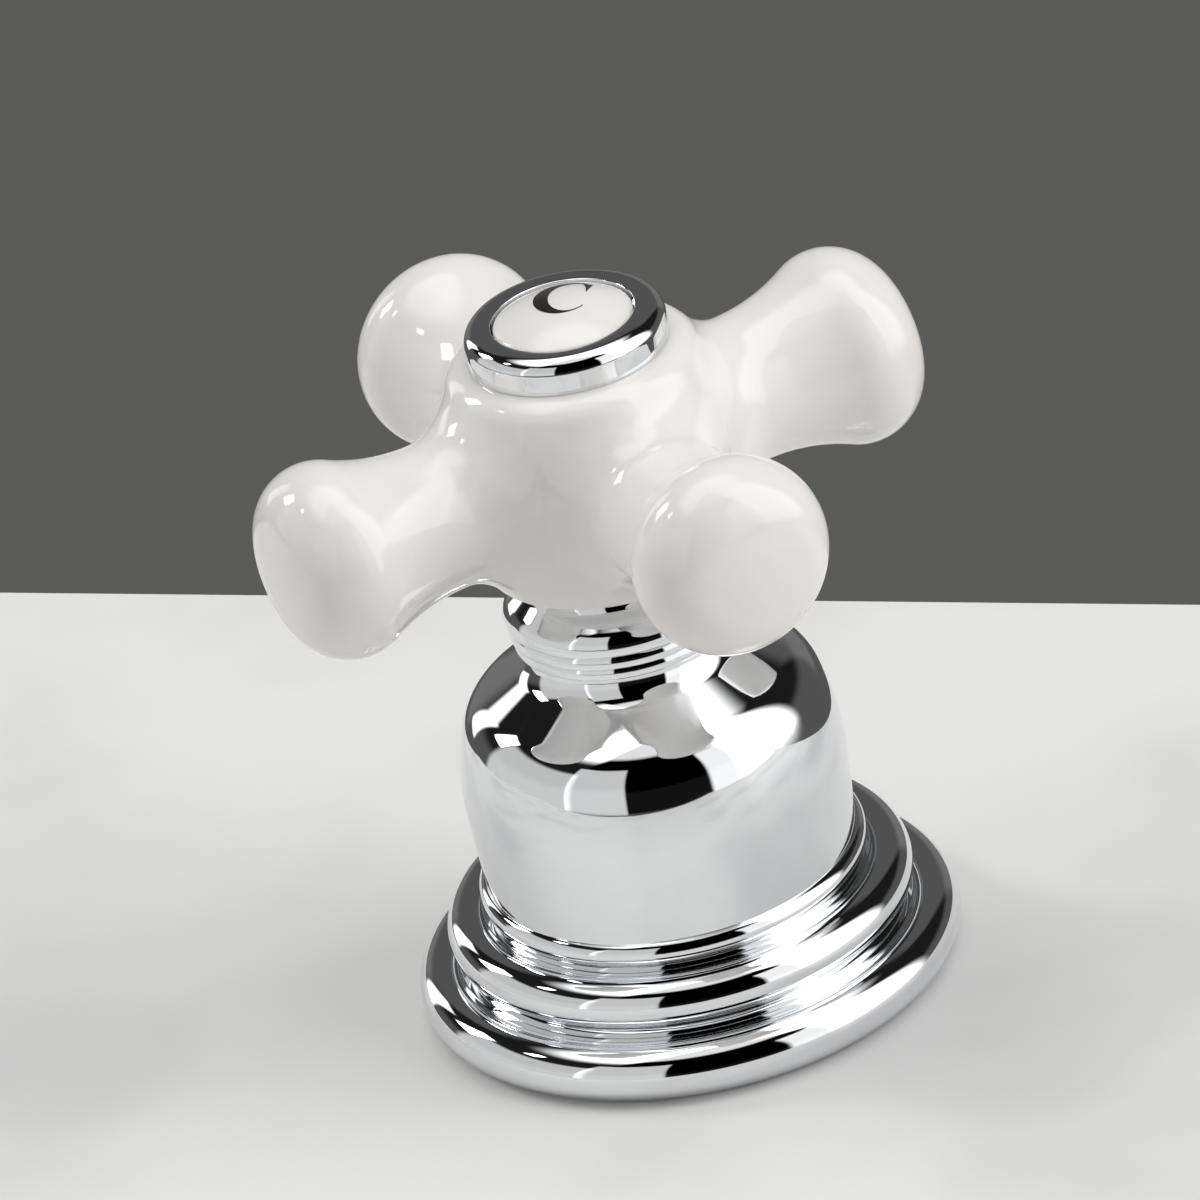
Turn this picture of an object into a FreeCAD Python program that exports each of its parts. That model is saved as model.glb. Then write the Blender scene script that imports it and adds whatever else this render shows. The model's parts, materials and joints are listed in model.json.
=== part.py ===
import FreeCAD, Part
import math
import os
import Sketcher

# Deck-mounted quarter-turn tap with a glazed porcelain cross handle.
# Origin: the middle of the deck plane that the bell flange stands on. +Z is up,
# along the spindle. The arms of the closed handle point along X and Y.
# All lengths are in millimetres.

DOC = FreeCAD.newDocument("cross_handle_tap")

SIZES = [
    # bell escutcheon, from the deck up
    ("flange_bead_middle", 25.5),
    ("flange_bead_round", 3.0),
    ("flange_bead_height", 2.9),
    ("middle_bead_middle", 21.8),
    ("middle_bead_round", 2.7),
    ("middle_bead_height", 8.9),
    ("upper_bead_middle", 18.9),
    ("upper_bead_round", 1.5),
    ("upper_bead_height", 13.2),
    ("bell_foot_radius", 19.5),
    ("bell_wall_radius", 20.05),
    ("bell_wall_height", 24.1),
    ("bell_shoulder_radius", 18.9),
    ("bell_shoulder_height", 31.8),
    ("bell_crown_radius", 15.75),
    ("bell_crown_height", 35.76),
    ("bell_long_bulge", 0.29),
    ("bell_short_bulge", 0.474),
    ("bell_collar_radius", 10.3),
    ("bell_slope_radius", 12.07),
    ("bell_slope_rise", 2.12),
    ("bell_cove", 3.54),
    ("bell_cove_rise", 3.07),
    ("bell_bore_radius", 18.0),
    ("bell_roof_drop", 0.76),
    ("bell_top_bore_radius", 9.0),
    ("gasket_recess_radius", 25.3),
    ("gasket_thickness", 2.2),
    ("gasket_clearance", 1.3),
    # deck and what clamps it
    ("deck_thickness", 20.0),
    ("shank_radius", 14.0),
    ("shank_length", 56.0),
    ("top_nut_flange_radius", 20.5),
    ("top_nut_flange_thickness", 2.0),
    ("top_nut_hub_radius", 17.5),
    ("top_nut_height", 5.5),
    ("top_nut_slot_width", 3.0),
    ("top_nut_slot_depth", 1.7),
    ("body_top_height", 25.5),
    ("rubber_washer_radius", 21.0),
    ("rubber_washer_thickness", 2.0),
    ("steel_washer_radius", 20.5),
    ("steel_washer_thickness", 1.5),
    ("lock_nut_flats", 38.0),
    ("lock_nut_thickness", 8.0),
    ("holder_height", 6.0),
    ("holder_thickness", 6.0),
    ("guide_ring_height", 3.2),
    # water ways
    ("inlet_radius", 10.48),
    ("inlet_length", 16.0),
    ("inlet_bore_radius", 7.5),
    ("inlet_bore_depth", 13.0),
    ("riser_radius", 4.5),
    ("return_radius", 1.6),
    ("return_offset", 11.2),
    ("outlet_depth", 46.0),
    ("outlet_radius", 8.33),
    ("outlet_reach", 34.0),
    ("outlet_thread_length", 16.0),
    ("outlet_relief_radius", 7.4),
    ("outlet_bore_radius", 5.0),
    ("gallery_radius", 11.2),
    ("gallery_height", 4.5),
    ("gallery_depth", 2.5),
    ("seat_depth", 13.0),
    ("cartridge_bore_radius", 9.0),
    # cartridge
    ("chamber_radius", 6.6),
    ("cartridge_hex_flats", 19.0),
    ("cartridge_hex_height", 4.5),
    ("cartridge_neck_radius", 6.0),
    ("cartridge_neck_height", 6.0),
    ("window_width", 6.0),
    ("window_height", 3.0),
    ("window_rise", 6.5),
    ("ring_section", 0.5),
    ("ring_groove_width", 1.3),
    ("body_ring_rise", 4.9),
    ("seat_seal_thickness", 2.0),
    ("seat_seal_inner_radius", 3.6),
    ("lower_ceramic_thickness", 3.5),
    ("upper_ceramic_thickness", 3.6),
    ("port_radius", 1.9),
    ("port_offset", 3.5),
    ("lug_width", 3.0),
    ("lug_reach", 7.6),
    ("lug_height", 1.6),
    ("drive_slot_depth", 1.2),
    ("drive_width", 2.4),
    ("drive_length", 9.0),
    # spindle
    ("spindle_radius", 4.0),
    ("spindle_flange_radius", 6.0),
    ("spindle_flange_rise", 1.0),
    ("spindle_flange_thickness", 1.2),
    ("thrust_washer_thickness", 0.7),
    ("lower_ring_rise", 3.4),
    ("upper_ring_rise", 7.4),
    ("circlip_radius", 5.2),
    ("circlip_groove_radius", 3.5),
    ("circlip_thickness", 0.8),
    ("circlip_gap_width", 3.0),
    ("spline_rise", 2.0),
    ("spline_length", 14.0),
    ("spline_tip_radius", 3.9),
    ("spline_root_radius", 3.45),
    ("spline_half_width", 0.5),
    ("screw_radius", 2.0),
    ("screw_reach", 8.0),
    ("tapped_depth", 11.0),
    # hub ferrule
    ("skirt_radius", 8.0),
    ("skirt_depth", 7.65),
    ("skirt_bore_radius", 6.6),
    ("skirt_bore_rise", 3.0),
    ("bead_undercut", 0.35),
    ("low_bead_middle", 9.8),
    ("low_bead_round", 1.8),
    ("low_bead_height", 1.4),
    ("mid_bead_middle", 10.05),
    ("mid_bead_round", 1.9),
    ("mid_bead_height", 1.56),
    ("bulb_middle", 9.3),
    ("bulb_round", 2.85),
    ("bulb_rise", 2.12),
    ("neck_flare_radius", 10.15),
    ("neck_flare_rise", 0.95),
    ("neck_radius", 9.3),
    ("neck_rise", 1.87),
    ("neck_hollow", 0.22),
    ("spigot_radius", 7.2),
    ("spigot_height", 5.5),
    ("boss_radius", 5.0),
    ("boss_height", 3.0),
    # porcelain cross
    ("cushion_thickness", 0.4),
    ("hub_foot_radius", 12.35),
    ("hub_foot_round", 0.6),
    ("hub_height", 24.24),
    ("hub_bulge", 2.68),
    ("hub_top_radius", 12.4),
    ("hub_top_round", 1.6),
    ("arm_rise", 11.75),
    ("arm_waist_radius", 7.8),
    ("arm_waist_reach", 18.0),
    ("arm_end_round", 6.2),
    ("arm_end_reach", 30.06),
    ("arm_end_offset", 4.31),
    ("arm_tip_radius", 25.0),
    ("arm_root_blend", 3.0),
    ("hub_bore_radius", 5.3),
    ("cup_bore_radius", 8.4),
    ("cup_bore_depth", 8.14),
    # handle fixing and index
    ("cup_wall", 1.35),
    ("cup_floor", 2.0),
    ("cup_sleeve", 6.4),
    ("lock_washer_radius", 3.9),
    ("lock_washer_thickness", 0.8),
    ("lock_washer_split", 0.8),
    ("screw_head_radius", 4.2),
    ("screw_head_side", 2.3),
    ("screw_head_dome", 0.7),
    ("screw_slot_width", 1.2),
    ("screw_slot_depth", 1.4),
    ("rim_radius", 10.5),
    ("rim_corner", 1.7),
    ("rim_height", 3.76),
    ("rim_inner_drop", 0.15),
    ("rim_floor", 1.6),
    ("rim_skirt_wall", 1.2),
    ("rim_skirt_depth", 5.0),
    ("rim_floor_hole", 5.2),
    ("disc_radius", 7.3),
    ("disc_edge", 1.75),
    ("disc_crown", 1.9),
    ("disc_stub_radius", 4.2),
    ("disc_stub_depth", 1.2),
    # fits
    ("running_clearance", 0.06),
    ("thread_clearance", 0.05),
    ("seal_clearance", 0.02),
    ("spline_clearance", 0.15),
    ("slip_clearance", 0.2),
    ("body_gap", 0.3),
]


SHEET = DOC.addObject("Spreadsheet::Sheet", "sizes")
VALUES = {}
for row, (alias, number) in enumerate(SIZES, start=1):
    SHEET.set("A%d" % row, alias.replace("_", " "))
    SHEET.set("B%d" % row, str(number))
    SHEET.setAlias("B%d" % row, alias)
    VALUES[alias] = float(number)
DOC.recompute()


class Size:
    """A length that carries both its number and the sheet expression it comes from."""

    def __init__(self, text, value):
        self.text = text
        self.value = value

    @staticmethod
    def of(other):
        if isinstance(other, Size):
            return other
        return Size(repr(float(other)), float(other))

    def __add__(self, other):
        other = Size.of(other)
        return Size("(%s + %s)" % (self.text, other.text), self.value + other.value)

    def __sub__(self, other):
        other = Size.of(other)
        return Size("(%s - %s)" % (self.text, other.text), self.value - other.value)

    def __mul__(self, factor):
        factor = Size.of(factor)
        return Size("(%s * %s)" % (self.text, factor.text), self.value * factor.value)

    def __truediv__(self, divisor):
        divisor = Size.of(divisor)
        return Size("(%s / %s)" % (self.text, divisor.text), self.value / divisor.value)

    def __neg__(self):
        return Size("(0 - %s)" % self.text, -self.value)


def size(alias):
    return Size("sizes." + alias, VALUES[alias])


def root(square):
    return Size("sqrt(%s)" % square.text, math.sqrt(square.value))


def bulge_radius(start, end, bulge):
    """Radius of the arc that stands out from its chord by the given bulge."""
    across = end[0] - start[0]
    up = end[1] - start[1]
    return (across * across + up * up + bulge * bulge * 4) / (bulge * 8)


ZERO = Size("0", 0.0)
FULL_TURN = 360.0
ARM_COUNT = 4
HEX_SIDES = 6
QUARTER_TURN = 90.0
HALF = 0.5
CUT_MARGIN = 1.0
MATCH_TOLERANCE = 0.01
EDGE_SAMPLES = (0.2, 0.5, 0.8)
BEAD_LEAN = 60.0
NUT_BEVEL = 30.0
SPLINE_COUNT = 20
RETURN_ANGLES = (-20.0, 0.0, 20.0)


def convex(radius):
    """The next edge is an arc that bulges away from the material."""
    return (radius, 1)


def concave(radius):
    """The next edge is an arc that is hollowed into the material."""
    return (radius, -1)


# ---------------------------------------------------------------- sketch helpers


def new_body(label):
    body = DOC.addObject("PartDesign::Body", label)
    body.Label = label
    return body


def origin_feature(body, role):
    for item in body.Origin.OriginFeatures:
        if item.Role == role:
            return item
    raise ValueError("no origin feature " + role)


def new_sketch(body, name, role):
    sketch = body.newObject("Sketcher::SketchObject", name)
    sketch.AttachmentSupport = [(origin_feature(body, role), "")]
    sketch.MapMode = "FlatFace"
    return sketch


def bind(sketch, constraint, expression):
    index = sketch.addConstraint(constraint)
    sketch.setExpression("Constraints[%d]" % index, expression.text)
    return index


def pin_point(sketch, geometry, corner, across, up):
    """Hold one point of a sketch at its two coordinates."""
    for kind, place, axis in (("DistanceX", across, -2), ("DistanceY", up, -1)):
        if place.text == ZERO.text:
            sketch.addConstraint(Sketcher.Constraint("PointOnObject", geometry, corner, axis))
        else:
            bind(sketch, Sketcher.Constraint(kind, -1, 1, geometry, corner, place.value), place)


def arc_between(start, end, radius, side):
    """Arc from start to end, its centre left of the way when side is 1."""
    chord = end - start
    half = chord.Length * HALF
    reach = math.sqrt(max(radius * radius - half * half, 0.0))
    normal = FreeCAD.Vector(-chord.y, chord.x, 0).normalize()
    centre = start + chord * HALF + normal * (reach * side)
    first, last = (start, end) if side > 0 else (end, start)
    low = math.atan2(first.y - centre.y, first.x - centre.x)
    high = math.atan2(last.y - centre.y, last.x - centre.x)
    circle = Part.Circle(centre, FreeCAD.Vector(0, 0, 1), radius)
    return Part.ArcOfCircle(circle, low, high)


def draw_outline(sketch, outline):
    """Closed outline, listed with the material on the left of the way round."""
    points = [FreeCAD.Vector(p[0].value, p[1].value, 0) for p in outline]
    edges = []
    for index, corner in enumerate(outline):
        start = points[index]
        end = points[(index + 1) % len(points)]
        if len(corner) == 2:
            edge = sketch.addGeometry(Part.LineSegment(start, end), False)
            edges.append((edge, 1, 2))
            continue
        radius, side = corner[2]
        edge = sketch.addGeometry(arc_between(start, end, radius.value, side), False)
        edges.append((edge, 1, 2) if side > 0 else (edge, 2, 1))
    for index, (edge, first, _) in enumerate(edges):
        previous, _, last = edges[index - 1]
        sketch.addConstraint(Sketcher.Constraint("Coincident", previous, last, edge, first))
        pin_point(sketch, edge, first, outline[index][0], outline[index][1])
    for (edge, _, _), corner in zip(edges, outline):
        if len(corner) == 3:
            bind(sketch, Sketcher.Constraint("Radius", edge, corner[2][0].value), corner[2][0])


def turn_outline(body, name, outline, kind="PartDesign::Revolution", axis="V_Axis"):
    sketch = new_sketch(body, name + "_outline", "XZ_Plane")
    draw_outline(sketch, outline)
    turn = body.newObject(kind, name)
    turn.Profile = sketch
    turn.ReferenceAxis = (sketch, [axis])
    turn.Angle = FULL_TURN
    body.Tip = turn
    return turn


def ring_outline(inner, outer, low, high):
    return [(inner, low), (outer, low), (outer, high), (inner, high)]


def turned_ring(label, inner, outer, low, high):
    body = new_body(label)
    turn_outline(body, label + "_turn", ring_outline(inner, outer, low, high))
    return body


def round_ring(label, middle, section, height):
    """Rubber ring of round section."""
    ring = DOC.addObject("Part::Torus", label)
    ring.Label = label
    ring.setExpression("Radius1", middle.text)
    ring.setExpression("Radius2", section.text)
    ring.setExpression("Placement.Base.z", height.text)
    return ring


def cylinder(label, radius, low, high):
    rod = DOC.addObject("Part::Cylinder", label)
    rod.setExpression("Radius", radius.text)
    rod.setExpression("Height", (high - low).text)
    rod.setExpression("Placement.Base.z", low.text)
    return rod


def block(label, width, depth, low, high):
    """Box centred on the axis, width along X and depth along Y."""
    box = DOC.addObject("Part::Box", label)
    box.setExpression("Length", width.text)
    box.setExpression("Width", depth.text)
    box.setExpression("Height", (high - low).text)
    box.setExpression("Placement.Base.x", (-(width * HALF)).text)
    box.setExpression("Placement.Base.y", (-(depth * HALF)).text)
    box.setExpression("Placement.Base.z", low.text)
    return box


def hex_prism(label, flats, low, high):
    prism = DOC.addObject("Part::Prism", label)
    prism.Polygon = HEX_SIDES
    prism.setExpression("Circumradius", (flats * Size.of(HALF / math.cos(math.pi / HEX_SIDES))).text)
    prism.setExpression("Height", (high - low).text)
    prism.setExpression("Placement.Base.z", low.text)
    return prism


def move_across(thing, x=None, y=None):
    if x is not None:
        thing.setExpression("Placement.Base.x", x.text)
    if y is not None:
        thing.setExpression("Placement.Base.y", y.text)
    return thing


def cut(label, base, tools):
    """Take each tool out of the base in turn; the last result carries the label."""
    result = base
    for index, tool in enumerate(tools):
        step = DOC.addObject("Part::Cut", "%s_cut_%d" % (label, index + 1))
        step.Base = result
        step.Tool = tool
        result = step
    result.Label = label
    return result


def fuse(label, pieces):
    joined = DOC.addObject("Part::MultiFuse", label)
    joined.Shapes = pieces
    joined.Label = label
    return joined


def side_rod(label, radius, start, end, height):
    """Cylinder lying along +Y at the given height."""
    rod = DOC.addObject("Part::Cylinder", label)
    rod.Placement = FreeCAD.Placement(FreeCAD.Vector(), FreeCAD.Rotation(FreeCAD.Vector(1, 0, 0), -QUARTER_TURN))
    rod.setExpression("Radius", radius.text)
    rod.setExpression("Height", (end - start).text)
    rod.setExpression("Placement.Base.y", start.text)
    rod.setExpression("Placement.Base.z", height.text)
    return rod


def cut_splines(body, name, point, mouth, top, length, turn=0.0):
    """Ring of V cuts: each runs from its mouth radius to a point, downwards from the top."""
    half_width = size("spline_half_width")
    sketch = new_sketch(body, name + "_spline_outline", "XY_Plane")
    around = FreeCAD.Rotation(FreeCAD.Vector(0, 0, 1), turn)
    sketch.AttachmentOffset = FreeCAD.Placement(FreeCAD.Vector(), around)
    sketch.setExpression("AttachmentOffset.Base.z", top.text)
    corners = [(mouth, -half_width), (point, ZERO), (mouth, half_width)]
    if point.value > mouth.value:
        overlap = mouth - CUT_MARGIN
    else:
        overlap = mouth + CUT_MARGIN
        corners.reverse()
    corners += [(overlap, corners[-1][1]), (overlap, corners[0][1])]
    draw_outline(sketch, corners)
    groove = body.newObject("PartDesign::Pocket", name + "_spline")
    groove.Profile = sketch
    groove.setExpression("Length", length.text)
    body.Tip = groove
    ring = body.newObject("PartDesign::PolarPattern", name + "_spline_ring")
    ring.Originals = [groove]
    ring.Axis = (sketch, ["N_Axis"])
    ring.Angle = FULL_TURN
    ring.Occurrences = SPLINE_COUNT
    body.Tip = ring


def round_edges(body, name, radius, height):
    """Round the circular edges of a turned body that lie at the given height."""
    DOC.recompute()
    base = body.Tip
    names = []
    for index, edge in enumerate(base.Shape.Edges, start=1):
        heights = [vertex.Z for vertex in edge.Vertexes]
        flat = all(abs(z - height.value) < MATCH_TOLERANCE for z in heights)
        if flat and isinstance(edge.Curve, Part.Circle):
            names.append("Edge%d" % index)
    rounding = body.newObject("PartDesign::Fillet", name)
    rounding.Base = (base, names)
    rounding.setExpression("Radius", radius.text)
    body.Tip = rounding


def arm_root_edges(shape, arm_radius):
    """Edges where the straight arm roots leave the hub."""
    names = []
    for index, edge in enumerate(shape.Edges, start=1):
        if edge.Degenerated or isinstance(edge.Curve, (Part.Line, Part.Circle)):
            continue
        first, last = edge.ParameterRange
        points = [edge.valueAt(first + (last - first) * part) for part in EDGE_SAMPLES]
        sides = [min(abs(point.x), abs(point.y)) for point in points]
        misses = [abs(math.hypot(side, point.z) - arm_radius) for side, point in zip(sides, points)]
        if max(misses) < MATCH_TOLERANCE:
            names.append("Edge%d" % index)
    return names


# ---------------------------------------------------------------- shared heights

BELL_SLOPE_TOP = size("bell_crown_height") + size("bell_slope_rise")
BELL_TOP = BELL_SLOPE_TOP + size("bell_cove_rise")
FERRULE_LOW = BELL_TOP + size("body_gap")
LOW_BEAD_TOP = FERRULE_LOW + size("low_bead_height")
MID_BEAD_TOP = LOW_BEAD_TOP + size("mid_bead_height")
BULB_HEIGHT = MID_BEAD_TOP + size("bead_undercut")
BULB_TOP = BULB_HEIGHT + size("bulb_rise")
NECK_FOOT = BULB_TOP + size("neck_flare_rise")
FERRULE_TOP = NECK_FOOT + size("neck_rise")
SPIGOT_TOP = FERRULE_TOP + size("spigot_height")
HUB_LOW = FERRULE_TOP + size("cushion_thickness")
HUB_TOP = HUB_LOW + size("hub_height")
ARM_HEIGHT = HUB_LOW + size("arm_rise")
CUP_SEAT = HUB_TOP - size("cup_bore_depth")
CUP_LOW = CUP_SEAT + size("cushion_thickness")
CUP_FLOOR_TOP = CUP_LOW + size("cup_floor")
LOCK_WASHER_TOP = CUP_FLOOR_TOP + size("lock_washer_thickness")
RIM_FLOOR_TOP = HUB_TOP + size("rim_floor")
SCREW_HOLE = size("screw_radius") + size("body_gap")
RING_RADIUS = size("ring_section") - size("seal_clearance")

DECK_UNDERSIDE = -size("deck_thickness")
RUBBER_LOW = DECK_UNDERSIDE - size("rubber_washer_thickness")
STEEL_LOW = RUBBER_LOW - size("steel_washer_thickness")
SHANK_LOW = -size("shank_length")
INLET_LOW = SHANK_LOW - size("inlet_length")
SHANK_BORE = size("shank_radius") + size("thread_clearance")

SEAT = size("body_top_height") - size("seat_depth")
SEAL_TOP = SEAT + size("seat_seal_thickness")
LOWER_CERAMIC_TOP = SEAL_TOP + size("lower_ceramic_thickness")
UPPER_CERAMIC_TOP = LOWER_CERAMIC_TOP + size("upper_ceramic_thickness")
SPINDLE_FLANGE_LOW = UPPER_CERAMIC_TOP + size("spindle_flange_rise")
SPINDLE_FLANGE_TOP = SPINDLE_FLANGE_LOW + size("spindle_flange_thickness")
THRUST_TOP = SPINDLE_FLANGE_TOP + size("thrust_washer_thickness")
CHAMBER_TOP = THRUST_TOP + size("running_clearance")
HEX_TOP = size("body_top_height") + size("cartridge_hex_height")
NECK_TOP = HEX_TOP + size("cartridge_neck_height")
CIRCLIP_LOW = NECK_TOP + size("body_gap")
CIRCLIP_HIGH = CIRCLIP_LOW + size("circlip_thickness")
SPLINE_LOW = NECK_TOP + size("spline_rise")
SPLINE_TOP = SPLINE_LOW + size("spline_length")


# ---------------------------------------------------------------- fixed pieces


def make_bell_escutcheon():
    """Chromed bell over a stepped flange of three beads, hollow inside."""
    foot = size("flange_bead_round")
    rim_mid = size("flange_bead_middle")
    rim_high = size("flange_bead_height")
    mid = size("middle_bead_middle")
    mid_round = size("middle_bead_round")
    mid_high = size("middle_bead_height")
    top_round = size("upper_bead_round")
    top_high = size("upper_bead_height")
    sag = math.cos(math.radians(BEAD_LEAN))
    lean = math.sin(math.radians(BEAD_LEAN))
    flange_up = rim_high + foot * lean
    mid_out = mid + mid_round * sag
    mid_up = mid_high + mid_round * lean
    bead_out = size("upper_bead_middle") + top_round * sag
    bore = size("bell_bore_radius")
    top_bore = size("bell_top_bore_radius")
    bore_high = size("bell_crown_height") - size("bell_roof_drop") - (bore - top_bore)
    recess = size("gasket_recess_radius")
    wall = (size("bell_wall_radius"), size("bell_wall_height"))
    shoulder = (size("bell_shoulder_radius"), size("bell_shoulder_height"))
    crown = (size("bell_crown_radius"), size("bell_crown_height"))
    outline = [
        (recess, ZERO),
        (rim_mid + root(foot * foot - rim_high * rim_high), ZERO, convex(foot)),
        (rim_mid + foot, rim_high, convex(foot)),
        (rim_mid - foot * sag, flange_up),
        (mid_out, flange_up),
        (mid_out, mid_high - mid_round * lean, convex(mid_round)),
        (mid + mid_round, mid_high, convex(mid_round)),
        (mid - mid_round * sag, mid_up),
        (bead_out, mid_up),
        (bead_out, top_high - top_round * lean, convex(top_round)),
        (bead_out, top_high + top_round * lean),
        (size("bell_foot_radius"), top_high + top_round * lean),
        wall + (convex(bulge_radius(wall, shoulder, size("bell_long_bulge"))),),
        shoulder + (convex(bulge_radius(shoulder, crown, size("bell_short_bulge"))),),
        crown,
        (size("bell_slope_radius"), BELL_SLOPE_TOP, concave(size("bell_cove"))),
        (size("bell_collar_radius"), BELL_TOP),
        (top_bore, BELL_TOP),
        (top_bore, bore_high + bore - top_bore, concave(bore - top_bore)),
        (bore, bore_high),
        (bore, size("gasket_thickness")),
        (recess, size("gasket_thickness")),
    ]
    body = new_body("bell_escutcheon")
    turn_outline(body, "bell_turn", outline)
    return body


def make_guide_ring():
    """Nylon bush pressed in the bell's neck, which the ferrule skirt turns in."""
    inner = size("skirt_radius") + size("running_clearance")
    low = BELL_TOP - size("guide_ring_height")
    return turned_ring("guide_ring", inner, size("bell_top_bore_radius"), low, BELL_TOP)


def make_holder_ring():
    """Nylon ring on the shank that centres and grips the bell."""
    low = size("holder_height")
    outer = size("bell_bore_radius") - size("running_clearance")
    return turned_ring("holder_ring", SHANK_BORE, outer, low, low + size("holder_thickness"))


def make_deck_gasket():
    inner = size("top_nut_flange_radius") + size("gasket_clearance")
    outer = size("gasket_recess_radius") - size("slip_clearance")
    return turned_ring("deck_gasket", inner, outer, ZERO, size("gasket_thickness"))


def make_top_flange_nut():
    """Flanged brass ring nut that clamps the shank from above the deck."""
    flange = size("top_nut_flange_thickness")
    high = size("top_nut_height")
    hub = size("top_nut_hub_radius")
    outline = [
        (SHANK_BORE, ZERO),
        (size("top_nut_flange_radius"), ZERO),
        (size("top_nut_flange_radius"), flange),
        (hub, flange),
        (hub, high),
        (SHANK_BORE, high),
    ]
    body = new_body("top_flange_nut_turned")
    turn_outline(body, "top_nut_turn", outline)
    slot_low = high - size("top_nut_slot_depth")
    slot_high = high + CUT_MARGIN
    width = size("top_nut_slot_width")
    along = block("top_nut_slot_x", hub * 2 + CUT_MARGIN, width, slot_low, slot_high)
    across = block("top_nut_slot_y", width, hub * 2 + CUT_MARGIN, slot_low, slot_high)
    return cut("top_flange_nut", body, [along, across])


def make_rubber_washer():
    inner = size("shank_radius") + size("slip_clearance")
    return turned_ring("rubber_washer", inner, size("rubber_washer_radius"), RUBBER_LOW, DECK_UNDERSIDE)


def make_steel_washer():
    inner = size("shank_radius") + size("slip_clearance")
    return turned_ring("steel_washer", inner, size("steel_washer_radius"), STEEL_LOW, RUBBER_LOW)


def make_lock_nut():
    """Hexagon nut with turned corners, under the washers."""
    low = STEEL_LOW - size("lock_nut_thickness")
    flats = size("lock_nut_flats")
    corner = flats * (HALF / math.cos(math.pi / HEX_SIDES))
    bevel = (corner - flats * HALF) * math.tan(math.radians(NUT_BEVEL))
    outline = [
        (SHANK_BORE, low),
        (flats * HALF, low),
        (corner, low + bevel),
        (corner, STEEL_LOW - bevel),
        (flats * HALF, STEEL_LOW),
        (SHANK_BORE, STEEL_LOW),
    ]
    turned = new_body("lock_nut_turned")
    turn_outline(turned, "lock_nut_turn", outline)
    nut = DOC.addObject("Part::Common", "lock_nut")
    nut.Base = turned
    nut.Tool = hex_prism("lock_nut_hexagon", flats, low, STEEL_LOW)
    nut.Label = "lock_nut"
    return nut


def make_valve_body():
    """Brass shank with the inlet below, a side outlet and the cartridge bore on top."""
    shank = size("shank_radius")
    top = size("body_top_height")
    bore = size("cartridge_bore_radius")
    gallery = size("gallery_radius")
    gallery_high = top - size("gallery_depth")
    gallery_low = gallery_high - size("gallery_height")
    inlet_bore_top = INLET_LOW + size("inlet_bore_depth")
    outline = [
        (size("inlet_bore_radius"), INLET_LOW),
        (size("inlet_radius"), INLET_LOW),
        (size("inlet_radius"), SHANK_LOW),
        (shank, SHANK_LOW),
        (shank, top),
        (bore, top),
        (bore, gallery_high),
        (gallery, gallery_high),
        (gallery, gallery_low),
        (bore, gallery_low),
        (bore, SEAT),
        (size("riser_radius"), SEAT),
        (size("riser_radius"), inlet_bore_top),
        (size("inlet_bore_radius"), inlet_bore_top),
    ]
    turned = new_body("valve_body_turned")
    turn_outline(turned, "valve_body_turn", outline)
    outlet_height = -size("outlet_depth")
    outlet_start = size("return_offset") - size("return_radius") - size("body_gap")
    outlet_end = size("outlet_reach")
    thread_start = outlet_end - size("outlet_thread_length")
    boss = side_rod("outlet_boss", size("outlet_radius"), thread_start, outlet_end, outlet_height)
    relief = side_rod("outlet_relief", size("outlet_relief_radius"), outlet_start, thread_start,
                      outlet_height)
    channel = side_rod("outlet_channel", size("outlet_bore_radius"), outlet_start,
                       outlet_end + CUT_MARGIN, outlet_height)
    tools = [channel]
    for index, turn in enumerate(RETURN_ANGLES):
        passage = cylinder("return_passage_%d" % (index + 1), size("return_radius"),
                           outlet_height, gallery_low + size("return_radius"))
        angle = math.radians(turn)
        move_across(passage, size("return_offset") * math.sin(angle),
                    size("return_offset") * math.cos(angle))
        tools.append(passage)
    joined = fuse("valve_body_joined", [turned, relief, boss])
    return cut("valve_body", joined, tools)


def make_cartridge_body():
    """Brass cartridge: sealed barrel with windows, spanner hexagon and a neck."""
    barrel = size("cartridge_bore_radius") - size("thread_clearance")
    groove = size("cartridge_bore_radius") - size("ring_section") * 2
    chamber = size("chamber_radius")
    neck = size("cartridge_neck_radius")
    ring = SEAT + size("body_ring_rise")
    half_groove = size("ring_groove_width") * HALF
    top = size("body_top_height")
    bore = size("spindle_radius") + size("running_clearance")
    outline = [
        (chamber, SEAT),
        (barrel, SEAT),
        (barrel, ring - half_groove),
        (groove, ring - half_groove),
        (groove, ring + half_groove),
        (barrel, ring + half_groove),
        (barrel, top),
        (neck, top),
        (neck, NECK_TOP),
        (bore, NECK_TOP),
        (bore, CHAMBER_TOP),
        (chamber, CHAMBER_TOP),
    ]
    turned = new_body("cartridge_turned")
    turn_outline(turned, "cartridge_turn", outline)
    hexagon = hex_prism("cartridge_hexagon", size("cartridge_hex_flats"), top, HEX_TOP)
    joined = fuse("cartridge_joined", [turned, hexagon])
    window_low = SEAT + size("window_rise")
    windows = block("cartridge_windows", size("window_width"), barrel * 2 + CUT_MARGIN,
                    window_low, window_low + size("window_height"))
    reach = size("lug_reach") + size("slip_clearance")
    notches = block("cartridge_notches", reach * 2, size("lug_width") + size("slip_clearance"),
                    SEAT - CUT_MARGIN, SEAL_TOP + size("lug_height") + size("slip_clearance"))
    spindle_bore = cylinder("cartridge_spindle_bore", bore, CHAMBER_TOP, NECK_TOP + CUT_MARGIN)
    return cut("cartridge_body", joined, [spindle_bore, windows, notches])


def make_cartridge_o_ring():
    middle = size("cartridge_bore_radius") - size("ring_section")
    return round_ring("cartridge_o_ring", middle, RING_RADIUS, SEAT + size("body_ring_rise"))


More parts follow.
